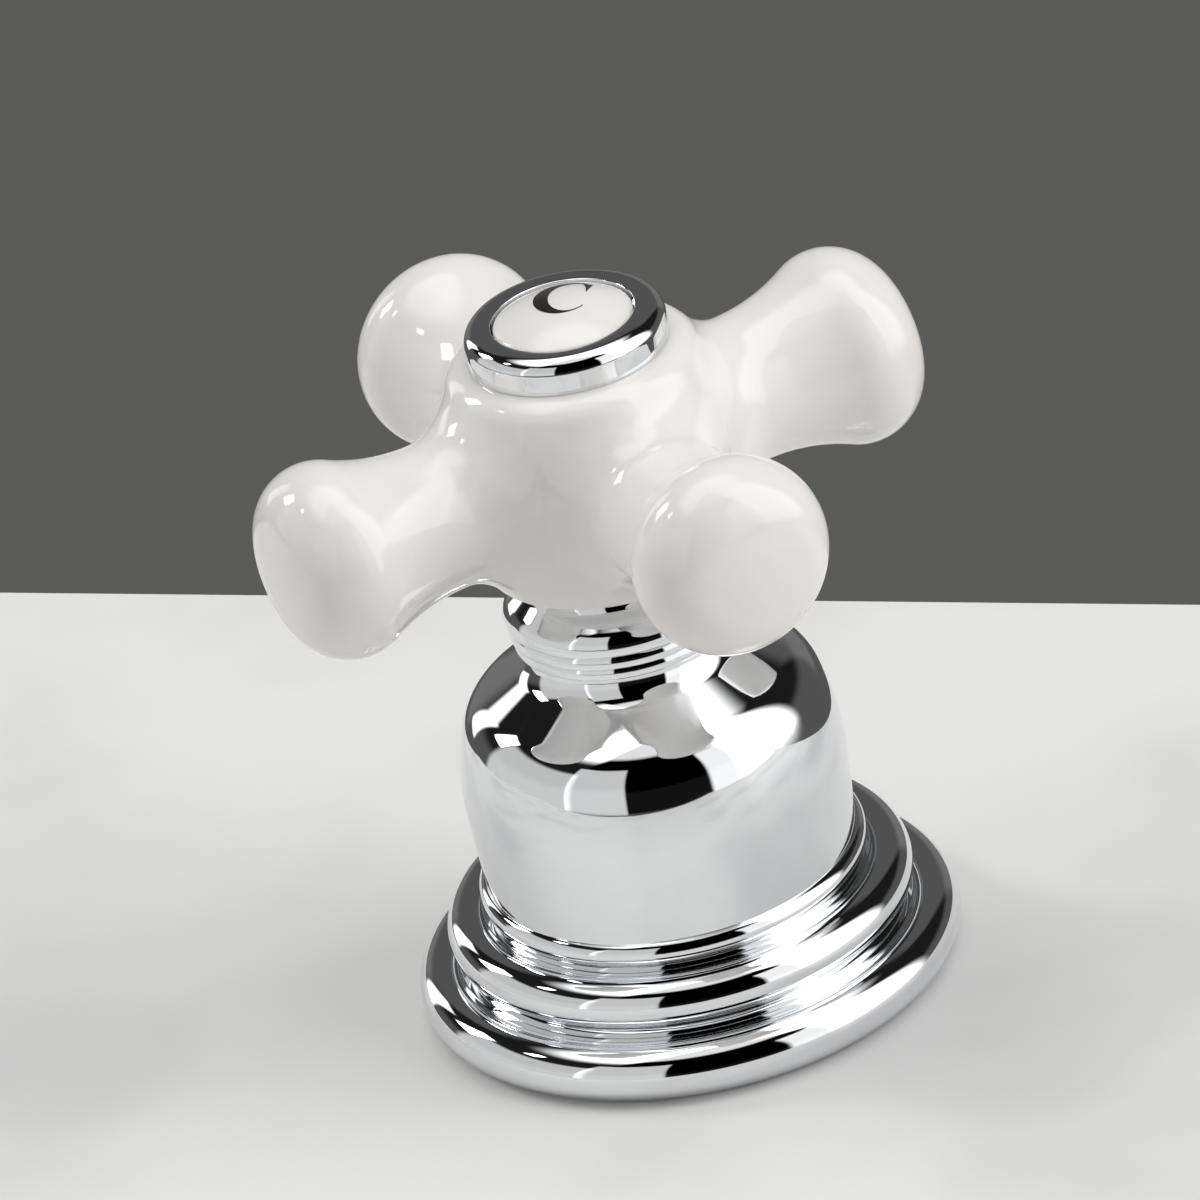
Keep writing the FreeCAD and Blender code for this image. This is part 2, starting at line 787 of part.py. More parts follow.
def make_seat_seal():
    outer = size("chamber_radius") - size("slip_clearance")
    return turned_ring("seat_seal", size("seat_seal_inner_radius"), outer, SEAT, SEAL_TOP)


def make_ceramic_disc_lower():
    """Fixed ceramic plate with two lugs held in the cartridge and two ports."""
    radius = size("chamber_radius") - size("slip_clearance")
    plate = cylinder("lower_plate", radius, SEAL_TOP, LOWER_CERAMIC_TOP)
    lugs = block("lower_lugs", size("lug_reach") * 2, size("lug_width"),
                 SEAL_TOP, SEAL_TOP + size("lug_height"))
    ports = []
    for side in (-1, 1):
        port = cylinder("lower_port", size("port_radius"), SEAL_TOP, LOWER_CERAMIC_TOP)
        ports.append(move_across(port, x=size("port_offset") * side))
    return cut("ceramic_disc_lower", fuse("lower_disc_joined", [plate, lugs]), ports)


# ---------------------------------------------------------------- turning pieces


def make_ceramic_disc_upper():
    """Turning ceramic plate: its ports stand a quarter turn from the lower ones."""
    radius = size("chamber_radius") - size("body_gap")
    plate = cylinder("upper_plate", radius, LOWER_CERAMIC_TOP, UPPER_CERAMIC_TOP)
    slot_low = UPPER_CERAMIC_TOP - size("drive_slot_depth")
    tools = [block("drive_slot", size("drive_length") + size("slip_clearance"),
                   size("drive_width") + size("slip_clearance"), slot_low, UPPER_CERAMIC_TOP)]
    for side in (-1, 1):
        port = cylinder("upper_port", size("port_radius"), LOWER_CERAMIC_TOP, UPPER_CERAMIC_TOP)
        tools.append(move_across(port, y=size("port_offset") * side))
    return cut("ceramic_disc_upper", plate, tools)


def make_thrust_washer():
    inner = size("spindle_radius") + size("slip_clearance")
    outer = size("chamber_radius") - size("body_gap")
    return turned_ring("thrust_washer", inner, outer, SPINDLE_FLANGE_TOP, THRUST_TOP)


def make_spindle():
    """Brass spindle with a drive tang, seal grooves, clip groove and splined head."""
    shaft = size("spindle_radius")
    flange = size("spindle_flange_radius")
    seal_groove = shaft - size("ring_section") * 2
    half_groove = size("ring_groove_width") * HALF
    clip_groove = size("circlip_groove_radius")
    tip = size("spline_tip_radius")
    tapped = size("screw_radius") + size("thread_clearance")
    outline = [(ZERO, SPINDLE_FLANGE_LOW), (flange, SPINDLE_FLANGE_LOW),
               (flange, SPINDLE_FLANGE_TOP), (shaft, SPINDLE_FLANGE_TOP)]
    for rise in ("lower_ring_rise", "upper_ring_rise"):
        height = SPINDLE_FLANGE_TOP + size(rise)
        outline += [(shaft, height - half_groove), (seal_groove, height - half_groove),
                    (seal_groove, height + half_groove), (shaft, height + half_groove)]
    outline += [
        (shaft, CIRCLIP_LOW),
        (clip_groove, CIRCLIP_LOW),
        (clip_groove, CIRCLIP_HIGH),
        (shaft, CIRCLIP_HIGH),
        (shaft, SPLINE_LOW),
        (tip, SPLINE_LOW),
        (tip, SPLINE_TOP),
        (tapped, SPLINE_TOP),
        (tapped, SPLINE_TOP - size("tapped_depth")),
        (ZERO, SPLINE_TOP - size("tapped_depth")),
    ]
    body = new_body("spindle_turned")
    turn_outline(body, "spindle_turn", outline)
    cut_splines(body, "spindle", size("spline_root_radius"), tip, SPLINE_TOP, size("spline_length"))
    tang_low = UPPER_CERAMIC_TOP - size("drive_slot_depth") + size("slip_clearance")
    tang = block("drive_tang", size("drive_length"), size("drive_width"), tang_low, SPINDLE_FLANGE_TOP)
    return fuse("spindle", [body, tang])


def make_spindle_seals():
    """Two rubber rings in the spindle's grooves."""
    rings = []
    for rise in ("lower_ring_rise", "upper_ring_rise"):
        rings.append(round_ring(rise + "_seal", size("spindle_radius") - size("ring_section"),
                                RING_RADIUS, SPINDLE_FLANGE_TOP + size(rise)))
    pair = DOC.addObject("Part::Compound", "spindle_seals")
    pair.Links = rings
    pair.Label = "spindle_seals"
    return pair


def make_spindle_circlip():
    """Open spring clip over the cartridge neck."""
    inner = size("circlip_groove_radius") + size("thread_clearance")
    ring = turned_ring("circlip_turned", inner, size("circlip_radius"), CIRCLIP_LOW, CIRCLIP_HIGH)
    gap = block("circlip_opening", size("circlip_radius") + CUT_MARGIN, size("circlip_gap_width"),
                CIRCLIP_LOW, CIRCLIP_HIGH)
    move_across(gap, x=ZERO)
    return cut("spindle_circlip", ring, [gap])


def bead_ends(middle, rounding, height, low, high):
    """Lower and upper ends of a bead's arc, cut off at two heights."""
    foot = middle + root(rounding * rounding - (height - low) * (height - low))
    head = middle + root(rounding * rounding - (high - height) * (high - height))
    return [(foot, low, convex(rounding)), (head, high)]


def make_hub_ferrule():
    """Chromed neck of two beads and a bulb under a waist, splined on the spindle, spigot up into the hub."""
    skirt = size("skirt_radius")
    skirt_low = FERRULE_LOW - size("skirt_depth")
    bore = size("skirt_bore_radius")
    bore_top = CIRCLIP_HIGH + size("skirt_bore_rise")
    broach = size("spline_root_radius") + size("spline_clearance")
    broach_top = SPLINE_TOP + size("slip_clearance")
    boss_top = SPIGOT_TOP + size("boss_height")
    outline = [(bore, skirt_low), (skirt, skirt_low), (skirt, FERRULE_LOW)]
    outline += bead_ends(size("low_bead_middle"), size("low_bead_round"),
                         FERRULE_LOW + size("bead_undercut"), FERRULE_LOW, LOW_BEAD_TOP)
    outline += bead_ends(size("mid_bead_middle"), size("mid_bead_round"),
                         LOW_BEAD_TOP + size("bead_undercut"), LOW_BEAD_TOP, MID_BEAD_TOP)
    outline += bead_ends(size("bulb_middle"), size("bulb_round"), BULB_HEIGHT, MID_BEAD_TOP, BULB_TOP)
    neck_foot = (size("neck_flare_radius"), NECK_FOOT)
    neck_top = (size("neck_radius"), FERRULE_TOP)
    outline.append(neck_foot + (concave(bulge_radius(neck_foot, neck_top, size("neck_hollow"))),))
    outline += [
        neck_top,
        (size("spigot_radius"), FERRULE_TOP),
        (size("spigot_radius"), SPIGOT_TOP),
        (size("boss_radius"), SPIGOT_TOP),
        (size("boss_radius"), boss_top),
        (SCREW_HOLE, boss_top),
        (SCREW_HOLE, broach_top),
        (broach, broach_top),
        (broach, bore_top),
        (bore, bore_top),
    ]
    body = new_body("hub_ferrule")
    turn_outline(body, "ferrule_turn", outline)
    tip = size("spline_tip_radius") + size("spline_clearance") * 2
    half_pitch = FULL_TURN / SPLINE_COUNT * HALF
    cut_splines(body, "ferrule", tip, broach, broach_top, broach_top - bore_top, half_pitch)
    return body


def make_lower_cushion():
    inner = size("spigot_radius") + size("slip_clearance")
    outer = size("neck_radius") - size("slip_clearance")
    return turned_ring("lower_cushion", inner, outer, FERRULE_TOP, HUB_LOW)


def make_upper_cushion():
    outer = size("cup_bore_radius") - size("slip_clearance")
    return turned_ring("upper_cushion", size("hub_bore_radius"), outer, CUP_SEAT, CUP_LOW)


def make_cross_handle():
    """Porcelain hub with four waisted arms that swell to rounded ends."""
    body = new_body("cross_handle")
    body.setExpression("Placement.Base.z", ARM_HEIGHT.text)
    hub_low = HUB_LOW - ARM_HEIGHT
    hub_top = HUB_TOP - ARM_HEIGHT
    foot = (size("hub_foot_radius"), hub_low)
    head = (size("hub_top_radius"), hub_top)
    hub = turn_outline(body, "hub_turn", [
        (ZERO, hub_low),
        foot + (convex(bulge_radius(foot, head, size("hub_bulge"))),),
        head,
        (ZERO, hub_top),
    ])
    round_edges(body, "hub_foot_rounding", size("hub_foot_round"), hub_low)
    round_edges(body, "hub_top_rounding", size("hub_top_round"), hub_top)

    reach = size("arm_end_reach")
    offset = size("arm_end_offset")
    end_round = size("arm_end_round")
    waist = size("arm_waist_radius")
    run = reach - size("arm_waist_reach")
    drop = waist - offset
    flare = (run * run + drop * drop - end_round * end_round) / ((end_round - drop) * 2)
    tip_round = size("arm_tip_radius")
    tip_back = root((tip_round - end_round) * (tip_round - end_round) - offset * offset)
    tip_share = tip_round / (tip_round - end_round)
    arm = turn_outline(body, "arm_turn", [
        (ZERO, ZERO),
        (reach - tip_back + tip_round, ZERO, convex(tip_round)),
        (reach - tip_back + tip_back * tip_share, offset * tip_share, convex(end_round)),
        (reach - end_round * run / (flare + end_round),
         offset + end_round * (flare + drop) / (flare + end_round), concave(flare)),
        (size("arm_waist_reach"), waist),
        (ZERO, waist),
    ], axis="H_Axis")
    arms = body.newObject("PartDesign::PolarPattern", "arm_ring")
    arms.Originals = [arm]
    arms.Axis = (hub.Profile[0], ["V_Axis"])
    arms.Angle = FULL_TURN
    arms.Occurrences = ARM_COUNT
    body.Tip = arms
    DOC.recompute()
    blend = body.newObject("PartDesign::Fillet", "arm_root_blend")
    blend.Base = (arms, arm_root_edges(arms.Shape, waist.value))
    blend.setExpression("Radius", size("arm_root_blend").text)
    body.Tip = blend

    counterbore = size("spigot_radius") + size("slip_clearance")
    counter_top = SPIGOT_TOP + size("slip_clearance") - ARM_HEIGHT
    cup = size("cup_bore_radius")
    bore = size("hub_bore_radius")
    turn_outline(body, "hub_bores", [
        (ZERO, hub_low - CUT_MARGIN),
        (counterbore, hub_low - CUT_MARGIN),
        (counterbore, counter_top),
        (bore, counter_top),
        (bore, CUP_SEAT - ARM_HEIGHT),
        (cup, CUP_SEAT - ARM_HEIGHT),
        (cup, hub_top + CUT_MARGIN),
        (ZERO, hub_top + CUT_MARGIN),
    ], kind="PartDesign::Groove")
    return body


def make_handle_cup():
    """Threaded brass cup sunk in the hub: the screw holds it, the index rim closes it."""
    outer = size("cup_bore_radius") - size("slip_clearance")
    inner = outer - size("cup_wall")
    sleeve = size("boss_radius")
    high = HUB_TOP - size("cushion_thickness")
    outline = [
        (SCREW_HOLE, CUP_LOW - size("cup_sleeve")),
        (sleeve, CUP_LOW - size("cup_sleeve")),
        (sleeve, CUP_LOW),
        (outer, CUP_LOW),
        (outer, high),
        (inner, high),
        (inner, CUP_FLOOR_TOP),
        (SCREW_HOLE, CUP_FLOOR_TOP),
    ]
    body = new_body("handle_cup")
    turn_outline(body, "cup_turn", outline)
    return body


def make_lock_washer():
    inner = size("screw_radius") + size("slip_clearance")
    radius = size("lock_washer_radius")
    ring = turned_ring("lock_washer_turned", inner, radius, CUP_FLOOR_TOP, LOCK_WASHER_TOP)
    split = block("lock_washer_opening", radius + CUT_MARGIN, size("lock_washer_split"),
                  CUP_FLOOR_TOP, LOCK_WASHER_TOP)
    move_across(split, x=ZERO)
    return cut("lock_washer", ring, [split])


def make_handle_screw():
    """Slotted screw with a domed head."""
    radius = size("screw_radius")
    head = size("screw_head_radius")
    side_top = LOCK_WASHER_TOP + size("screw_head_side")
    top = side_top + size("screw_head_dome")
    dome = (head * head + size("screw_head_dome") * size("screw_head_dome")) / (size("screw_head_dome") * 2)
    low = SPLINE_TOP - size("screw_reach")
    outline = [
        (ZERO, low),
        (radius, low),
        (radius, LOCK_WASHER_TOP),
        (head, LOCK_WASHER_TOP),
        (head, side_top, convex(dome)),
        (ZERO, top),
    ]
    body = new_body("handle_screw_turned")
    turn_outline(body, "screw_turn", outline)
    slot = block("screw_slot", head * 2 + CUT_MARGIN, size("screw_slot_width"),
                 top - size("screw_slot_depth"), top)
    return cut("handle_screw", body, [slot])


def make_index_rim():
    """Chromed rim with a threaded skirt, holding the index disc."""
    radius = size("rim_radius")
    corner = size("rim_corner")
    high = HUB_TOP + size("rim_height")
    inner = size("disc_radius") + size("slip_clearance")
    skirt = size("cup_bore_radius") - size("slip_clearance") - size("cup_wall") - size("thread_clearance")
    skirt_bore = skirt - size("rim_skirt_wall")
    hole = size("rim_floor_hole")
    outline = [
        (skirt_bore, HUB_TOP - size("rim_skirt_depth")),
        (skirt, HUB_TOP - size("rim_skirt_depth")),
        (skirt, HUB_TOP),
        (radius, HUB_TOP),
        (radius, high - corner, convex(corner)),
        (radius - corner, high),
        (inner, high - size("rim_inner_drop")),
        (inner, RIM_FLOOR_TOP),
        (hole, RIM_FLOOR_TOP),
        (hole, HUB_TOP),
        (skirt_bore, HUB_TOP),
    ]
    body = new_body("index_rim")
    turn_outline(body, "rim_turn", outline)
    return body


def make_index_disc():
    """Domed porcelain button with a stub that plugs into the rim's floor."""
    radius = size("disc_radius")
    stub = size("disc_stub_radius")
    edge_top = RIM_FLOOR_TOP + size("disc_edge")
    crown = size("disc_crown")
    outline = [
        (ZERO, RIM_FLOOR_TOP - size("disc_stub_depth")),
        (stub, RIM_FLOOR_TOP - size("disc_stub_depth")),
        (stub, RIM_FLOOR_TOP),
        (radius, RIM_FLOOR_TOP),
        (radius, edge_top, convex((radius * radius + crown * crown) / (crown * 2))),
        (ZERO, edge_top + crown),
    ]
    body = new_body("index_disc")
    turn_outline(body, "disc_turn", outline)
    return body


def make_index_o_ring():
    middle = (size("disc_stub_radius") + size("rim_floor_hole")) * HALF
    return round_ring("index_o_ring", middle, RING_RADIUS, HUB_TOP + size("rim_floor") * HALF)


# ---------------------------------------------------------------- build, check and write

MAKERS = [
    make_bell_escutcheon,
    make_guide_ring,
    make_holder_ring,
    make_deck_gasket,
    make_top_flange_nut,
    make_rubber_washer,
    make_steel_washer,
    make_lock_nut,
    make_valve_body,
    make_cartridge_body,
    make_cartridge_o_ring,
    make_seat_seal,
    make_ceramic_disc_lower,
    make_ceramic_disc_upper,
    make_thrust_washer,
    make_spindle,
    make_spindle_seals,
    make_spindle_circlip,
    make_hub_ferrule,
    make_lower_cushion,
    make_cross_handle,
    make_upper_cushion,
    make_handle_cup,
    make_lock_washer,
    make_handle_screw,
    make_index_rim,
    make_index_disc,
    make_index_o_ring,
]

PIECES = [maker() for maker in MAKERS]
DOC.recompute()

for thing in DOC.Objects:
    for state in ("Invalid", "Error"):
        if state in thing.State:
            raise RuntimeError("%s is %s" % (thing.Label, state))
for piece in PIECES:
    if piece.Shape.isNull() or not piece.Shape.isValid():
        raise RuntimeError("bad shape in " + piece.Label)

os.makedirs("parts", exist_ok=True)
for piece in PIECES:
    piece.Shape.exportStep(os.path.join("parts", piece.Label + ".step"))
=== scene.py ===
import json
import math

import bpy
import numpy as np
from mathutils import Matrix, Vector


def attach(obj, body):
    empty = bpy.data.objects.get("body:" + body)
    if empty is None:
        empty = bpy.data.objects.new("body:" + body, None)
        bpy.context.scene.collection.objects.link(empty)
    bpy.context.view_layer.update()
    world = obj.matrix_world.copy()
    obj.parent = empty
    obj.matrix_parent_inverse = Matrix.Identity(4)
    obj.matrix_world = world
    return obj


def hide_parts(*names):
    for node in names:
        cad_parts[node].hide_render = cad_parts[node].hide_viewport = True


# Deck tap with a porcelain cross handle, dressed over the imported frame.
# Lengths are in millimetres, and MM turns them into metres. A profile point is (radius, height),
# or (radius, height, arc radius, side) where an arc runs from it to the next point.

MM = 0.001
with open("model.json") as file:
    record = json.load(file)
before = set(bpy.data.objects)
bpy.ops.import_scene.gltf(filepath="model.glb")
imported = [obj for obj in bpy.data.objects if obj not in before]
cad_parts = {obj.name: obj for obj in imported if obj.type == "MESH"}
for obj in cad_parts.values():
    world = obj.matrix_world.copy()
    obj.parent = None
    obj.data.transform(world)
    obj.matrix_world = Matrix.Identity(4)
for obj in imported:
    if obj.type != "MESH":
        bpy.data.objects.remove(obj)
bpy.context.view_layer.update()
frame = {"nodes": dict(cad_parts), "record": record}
scene = bpy.context.scene

# ---------------------------------------------------------------- camera

VIEW_SIDE = -113.02  # degrees about Z from +X to the camera
FOCAL_PIXELS = 15968.72
FRAME_PIXELS = 1200
SENSOR_WIDTH = 36.0
CLIP_NEAR = 0.05  # metres, as is the far one
CLIP_FAR = 20.0
DISTANCE = 1661.87
ELEVATION = 0.521067  # radians, as are the next three
ROLL = -0.201897
YAW = 0.0012479
PITCH = -0.0235649


def turn(axis, angle):
    return Matrix.Rotation(angle, 3, axis)


def make_camera():
    back = Vector((0.0, -math.cos(ELEVATION), math.sin(ELEVATION)))
    right = Vector((1.0, 0.0, 0.0))
    ahead = -back
    up = right.cross(ahead)
    rows = Matrix((right, -up, ahead))
    look = turn("Z", ROLL) @ turn("X", PITCH) @ turn("Y", YAW) @ rows
    spin = turn("Z", math.radians(VIEW_SIDE + 90.0))
    look = look @ spin.transposed()
    data = bpy.data.cameras.new("camera")
    data.sensor_width = SENSOR_WIDTH
    data.lens = FOCAL_PIXELS / FRAME_PIXELS * SENSOR_WIDTH
    data.clip_start = CLIP_NEAR
    data.clip_end = CLIP_FAR
    camera = bpy.data.objects.new("camera", data)
    scene.collection.objects.link(camera)
    columns = Matrix((look[0], -look[1], -look[2])).transposed()
    place = (spin @ back) * DISTANCE * MM
    camera.matrix_world = Matrix.Translation(place) @ columns.to_4x4()
    scene.camera = camera


# ---------------------------------------------------------------- node helpers

WIDE_GRAIN = 0.35  # scale of the drift in roughness, as a share of the fine grain's
WIDE_LIMITS = (0.3, 0.7)  # noise values between which the roughness drifts
SUBSURFACE_RADIUS = (0.004, 0.003, 0.0025)
SUBSURFACE_SCALE = 0.5


def node_tree(owner):
    owner.use_nodes = True
    tree = owner.node_tree
    tree.nodes.clear()
    return tree


def maths(tree, operation, first, second=None):
    node = tree.nodes.new("ShaderNodeMath")
    node.operation = operation
    for socket, value in zip(node.inputs, (first, second)):
        if value is None:
            continue
        if isinstance(value, (int, float)):
            socket.default_value = value
        else:
            tree.links.new(value, socket)
    return node.outputs[0]


def ramp(tree, value, low, high, out_low, out_high):
    """Smooth step of a value between two limits."""
    node = tree.nodes.new("ShaderNodeMapRange")
    node.interpolation_type = "SMOOTHSTEP"
    tree.links.new(value, node.inputs["Value"])
    limits = (("From Min", low), ("From Max", high), ("To Min", out_low), ("To Max", out_high))
    for name, number in limits:
        node.inputs[name].default_value = number
    return node.outputs["Result"]


def noise(tree, coordinates, scale, detail=2.0, stretch=(1.0, 1.0, 1.0)):
    mapping = tree.nodes.new("ShaderNodeMapping")
    mapping.inputs["Scale"].default_value = stretch
    tree.links.new(coordinates, mapping.inputs["Vector"])
    node = tree.nodes.new("ShaderNodeTexNoise")
    node.inputs["Scale"].default_value = scale
    node.inputs["Detail"].default_value = detail
    tree.links.new(mapping.outputs["Vector"], node.inputs["Vector"])
    return node.outputs["Fac"]


def principled(name):
    """New material with one surface shader: itself, its tree, the shader and object coordinates."""
    material = bpy.data.materials.new(name)
    tree = node_tree(material)
    out = tree.nodes.new("ShaderNodeOutputMaterial")
    shader = tree.nodes.new("ShaderNodeBsdfPrincipled")
    tree.links.new(shader.outputs[0], out.inputs["Surface"])
    place = tree.nodes.new("ShaderNodeTexCoord").outputs["Object"]
    return material, tree, shader, place


def colour_between(tree, shader, share, first, second):
    blend = tree.nodes.new("ShaderNodeMix")
    blend.data_type = "RGBA"
    blend.inputs["A"].default_value = (*first, 1.0)
    blend.inputs["B"].default_value = (*second, 1.0)
    tree.links.new(share, blend.inputs["Factor"])
    tree.links.new(blend.outputs["Result"], shader.inputs["Base Color"])


def surface(name, colour, shade, rough, metal=0.0, rough_spread=0.0, grain=600.0,
            stretch=(1.0, 1.0, 1.0), bump=0.0, bump_scale=300.0, subsurface=0.0):
    """Surface whose colour, roughness and relief drift with noise in the object's own space."""
    material, tree, shader, place = principled(name)
    fine = noise(tree, place, grain, 3.0, stretch)
    colour_between(tree, shader, fine, colour, shade)
    wide = noise(tree, place, grain * WIDE_GRAIN, 2.0, stretch)
    tree.links.new(ramp(tree, wide, *WIDE_LIMITS, rough - rough_spread, rough + rough_spread),
                   shader.inputs["Roughness"])
    shader.inputs["Metallic"].default_value = metal
    if subsurface:
        shader.inputs["Subsurface Weight"].default_value = subsurface
        shader.inputs["Subsurface Radius"].default_value = SUBSURFACE_RADIUS
        shader.inputs["Subsurface Scale"].default_value = SUBSURFACE_SCALE
    if bump:
        relief = tree.nodes.new("ShaderNodeBump")
        relief.inputs["Strength"].default_value = 1.0
        relief.inputs["Distance"].default_value = bump * MM
        tree.links.new(noise(tree, place, bump_scale, 2.0, stretch), relief.inputs["Height"])
        tree.links.new(relief.outputs["Normal"], shader.inputs["Normal"])
    return material


# ---------------------------------------------------------------- profiles and turned meshes

ARC_STEP_DEGREES = 4.0
ARC_STEP_LENGTH = 0.5
EASE_STEPS = (0.0, 0.2, 0.4, 0.6, 0.8, 1.0)
SHARED_EDGE = 0.45  # most of a short edge that one of its two eased corners takes
SHARP_TURN = 14.0  # degrees from which a corner of a profile is eased
ON_AXIS = 1e-6
CREASE = 35.0  # degrees from which an edge of a mesh is shaded sharp


def arc_points(start, end, radius, side):
    """Points of an arc from start to end; its centre is left of the way when side is 1."""
    start, end = np.array(start, float), np.array(end, float)
    chord = end - start
    half = np.linalg.norm(chord) / 2
    normal = np.array((-chord[1], chord[0])) / (2 * half)
    rise = math.sqrt(max(radius * radius - half * half, 0.0))
    centre = start + chord / 2 + normal * rise * side
    a = math.atan2(*(start - centre)[::-1])
    b = math.atan2(*(end - centre)[::-1])
    sweep = (b - a) * side
    while sweep <= 0:
        sweep += 2 * math.pi
    by_angle = int(math.ceil(math.degrees(sweep) / ARC_STEP_DEGREES))
    count = max(3, by_angle, int(radius * sweep / ARC_STEP_LENGTH))
    angles = a + side * sweep * np.linspace(0.0, 1.0, count + 1)
    return [tuple(centre + radius * np.array((math.cos(t), math.sin(t)))) for t in angles[:-1]]


def bulge_radius(start, end, bulge):
    """Radius of the arc through two points that stands off their chord by the bulge."""
    chord = (end[0] - start[0]) ** 2 + (end[1] - start[1]) ** 2
    return (chord + 4 * bulge * bulge) / (8 * bulge)


def soften(points, corners, size):
    """Rounds the listed corners of a closed line by the given length each side."""
    points = [np.array(p, float) for p in points]
    count = len(points)
    gone, added = set(), {}
    for corner in corners:
        here = points[corner]
        ends = []
        for step in (-1, 1):
            left, index, walked = size, corner, []
            position = here
            while True:
                following = (index + step) % count
                way = points[following] - position
                length = np.linalg.norm(way)
                if following in corners and length < 2 * left:
                    left = min(left, SHARED_EDGE * length)
                if length >= left:
                    ends.append(position + way * (left / max(length, 1e-9)))
                    break
                left -= length
                position = points[following]
                index = following
                walked.append(following)
            gone.update(walked)
        first, last = ends
        added[corner] = [first * (1 - t) ** 2 + 2 * here * t * (1 - t) + last * t * t
                         for t in EASE_STEPS]
        gone.add(corner)
    result = []
    for index in range(count):
        if index in added:
            result.extend(added[index])
        elif index not in gone:
            result.append(points[index])
    return [tuple(p) for p in result]


def profile(outline, ease):
    """Dense closed line through the points and arcs of an outline, its sharp corners eased."""
    points, starts = [], []
    for index, corner in enumerate(outline):
        following = outline[(index + 1) % len(outline)]
        starts.append(len(points))
        if len(corner) == 2:
            points.append((float(corner[0]), float(corner[1])))
        else:
            points.extend(arc_points(corner[:2], following[:2], corner[2], corner[3]))
    sharp = []
    for index in starts:
        before = np.array(points[index]) - np.array(points[index - 1])
        after = np.array(points[(index + 1) % len(points)]) - np.array(points[index])
        cosine = before @ after / max(np.linalg.norm(before) * np.linalg.norm(after), 1e-12)
        if cosine < math.cos(math.radians(SHARP_TURN)) and points[index][0] > ON_AXIS:
            sharp.append(index)
    return soften(points, sharp, ease)


def mesh_object(name, vertices, faces, body, material, crease=CREASE):
    data = bpy.data.meshes.new(name)
    data.from_pydata([tuple(v) for v in vertices], [], faces)
    data.validate()
    data.shade_smooth()
    item = bpy.data.objects.new(name, data)
    scene.collection.objects.link(item)
    data.set_sharp_from_angle(angle=math.radians(crease))
    data.materials.append(material)
    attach(item, body)
    return item


def turned(name, points, body, material, segments):
    """Turns a closed (radius, height) line about Z. Points on the axis become poles."""
    vertices, rings = [], []
    for radius, height in points:
        if radius < ON_AXIS:
            rings.append((len(vertices), 1))
            vertices.append((0.0, 0.0, height * MM))
            continue
        rings.append((len(vertices), segments))
        for step in range(segments):
            angle = 2 * math.pi * step / segments
            x, y = radius * math.cos(angle), radius * math.sin(angle)
            vertices.append((x * MM, y * MM, height * MM))
    faces = []
    for index, (base, count) in enumerate(rings):
        following, wide = rings[(index + 1) % len(rings)]
        if count == 1 and wide == 1:
            continue
        for step in range(segments):
            ahead = (step + 1) % segments
            if count == 1:
                faces.append((base, following + ahead, following + step))
            elif wide == 1:
                faces.append((base + step, base + ahead, following))
            else:
                faces.append((base + step, base + ahead, following + ahead, following + step))
    return mesh_object(name, vertices, faces, body, material)


# ---------------------------------------------------------------- porcelain cross
# Heights in this section, after the first, count from the axis of the arms.

ARM_HEIGHT = 61.65
HUB_LOW = -11.75
HUB_TOP = 12.49
HUB_FOOT = 12.35
HUB_HEAD = 12.4
HUB_BULGE = 2.68
HUB_FOOT_ROUND = 0.7
HUB_TOP_ROUND = 1.8
WAIST = 7.8
WAIST_REACH = 18.0
END_REACH = 30.06
END_OFFSET = 4.31
END_ROUND = 6.2
TIP_RADIUS = 25.0
TIP_START = 1.0  # past the centre of the tip's arc
BLEND = 4.0
CUT_MARGIN = 3.0
HUB_BORES = (
    # radius, low, high
    (7.4, HUB_LOW - CUT_MARGIN, -6.45),
    (5.3, HUB_LOW - CUT_MARGIN, HUB_TOP + CUT_MARGIN),
    (8.4, 4.35, HUB_TOP + CUT_MARGIN),
)
NET_STEP = 0.42
NET_REACH = 37.8
NET_LOW = -12.3
NET_HIGH = 13.7
SETTLE_ROUNDS = 3
SETTLE_REACH = 0.6  # of a cell
SLOPE_STEP = 0.01
LEAST_SLOPE = 0.25  # squared
CROSS_CREASE = 50.0


def hub_distance(radius, height):
    """Signed distance of the bulged hub, its foot and head rounded."""
    arc = bulge_radius((HUB_FOOT, HUB_LOW), (HUB_HEAD, HUB_TOP), HUB_BULGE)
    foot, head = np.array((HUB_FOOT, HUB_LOW)), np.array((HUB_HEAD, HUB_TOP))
    chord = head - foot
    half = np.linalg.norm(chord) / 2
    normal = np.array((-chord[1], chord[0])) / (2 * half)
    centre = (foot + head) / 2 + normal * math.sqrt(arc * arc - half * half)
    result = np.hypot(radius - centre[0], height - centre[1]) - arc
    for face, rounding in ((height - HUB_TOP, HUB_TOP_ROUND), (HUB_LOW - height, HUB_FOOT_ROUND)):
        a = np.maximum(rounding + result, 0.0)
        b = np.maximum(rounding + face, 0.0)
        result = np.minimum(-rounding, np.maximum(result, face)) + np.hypot(a, b)
    return result


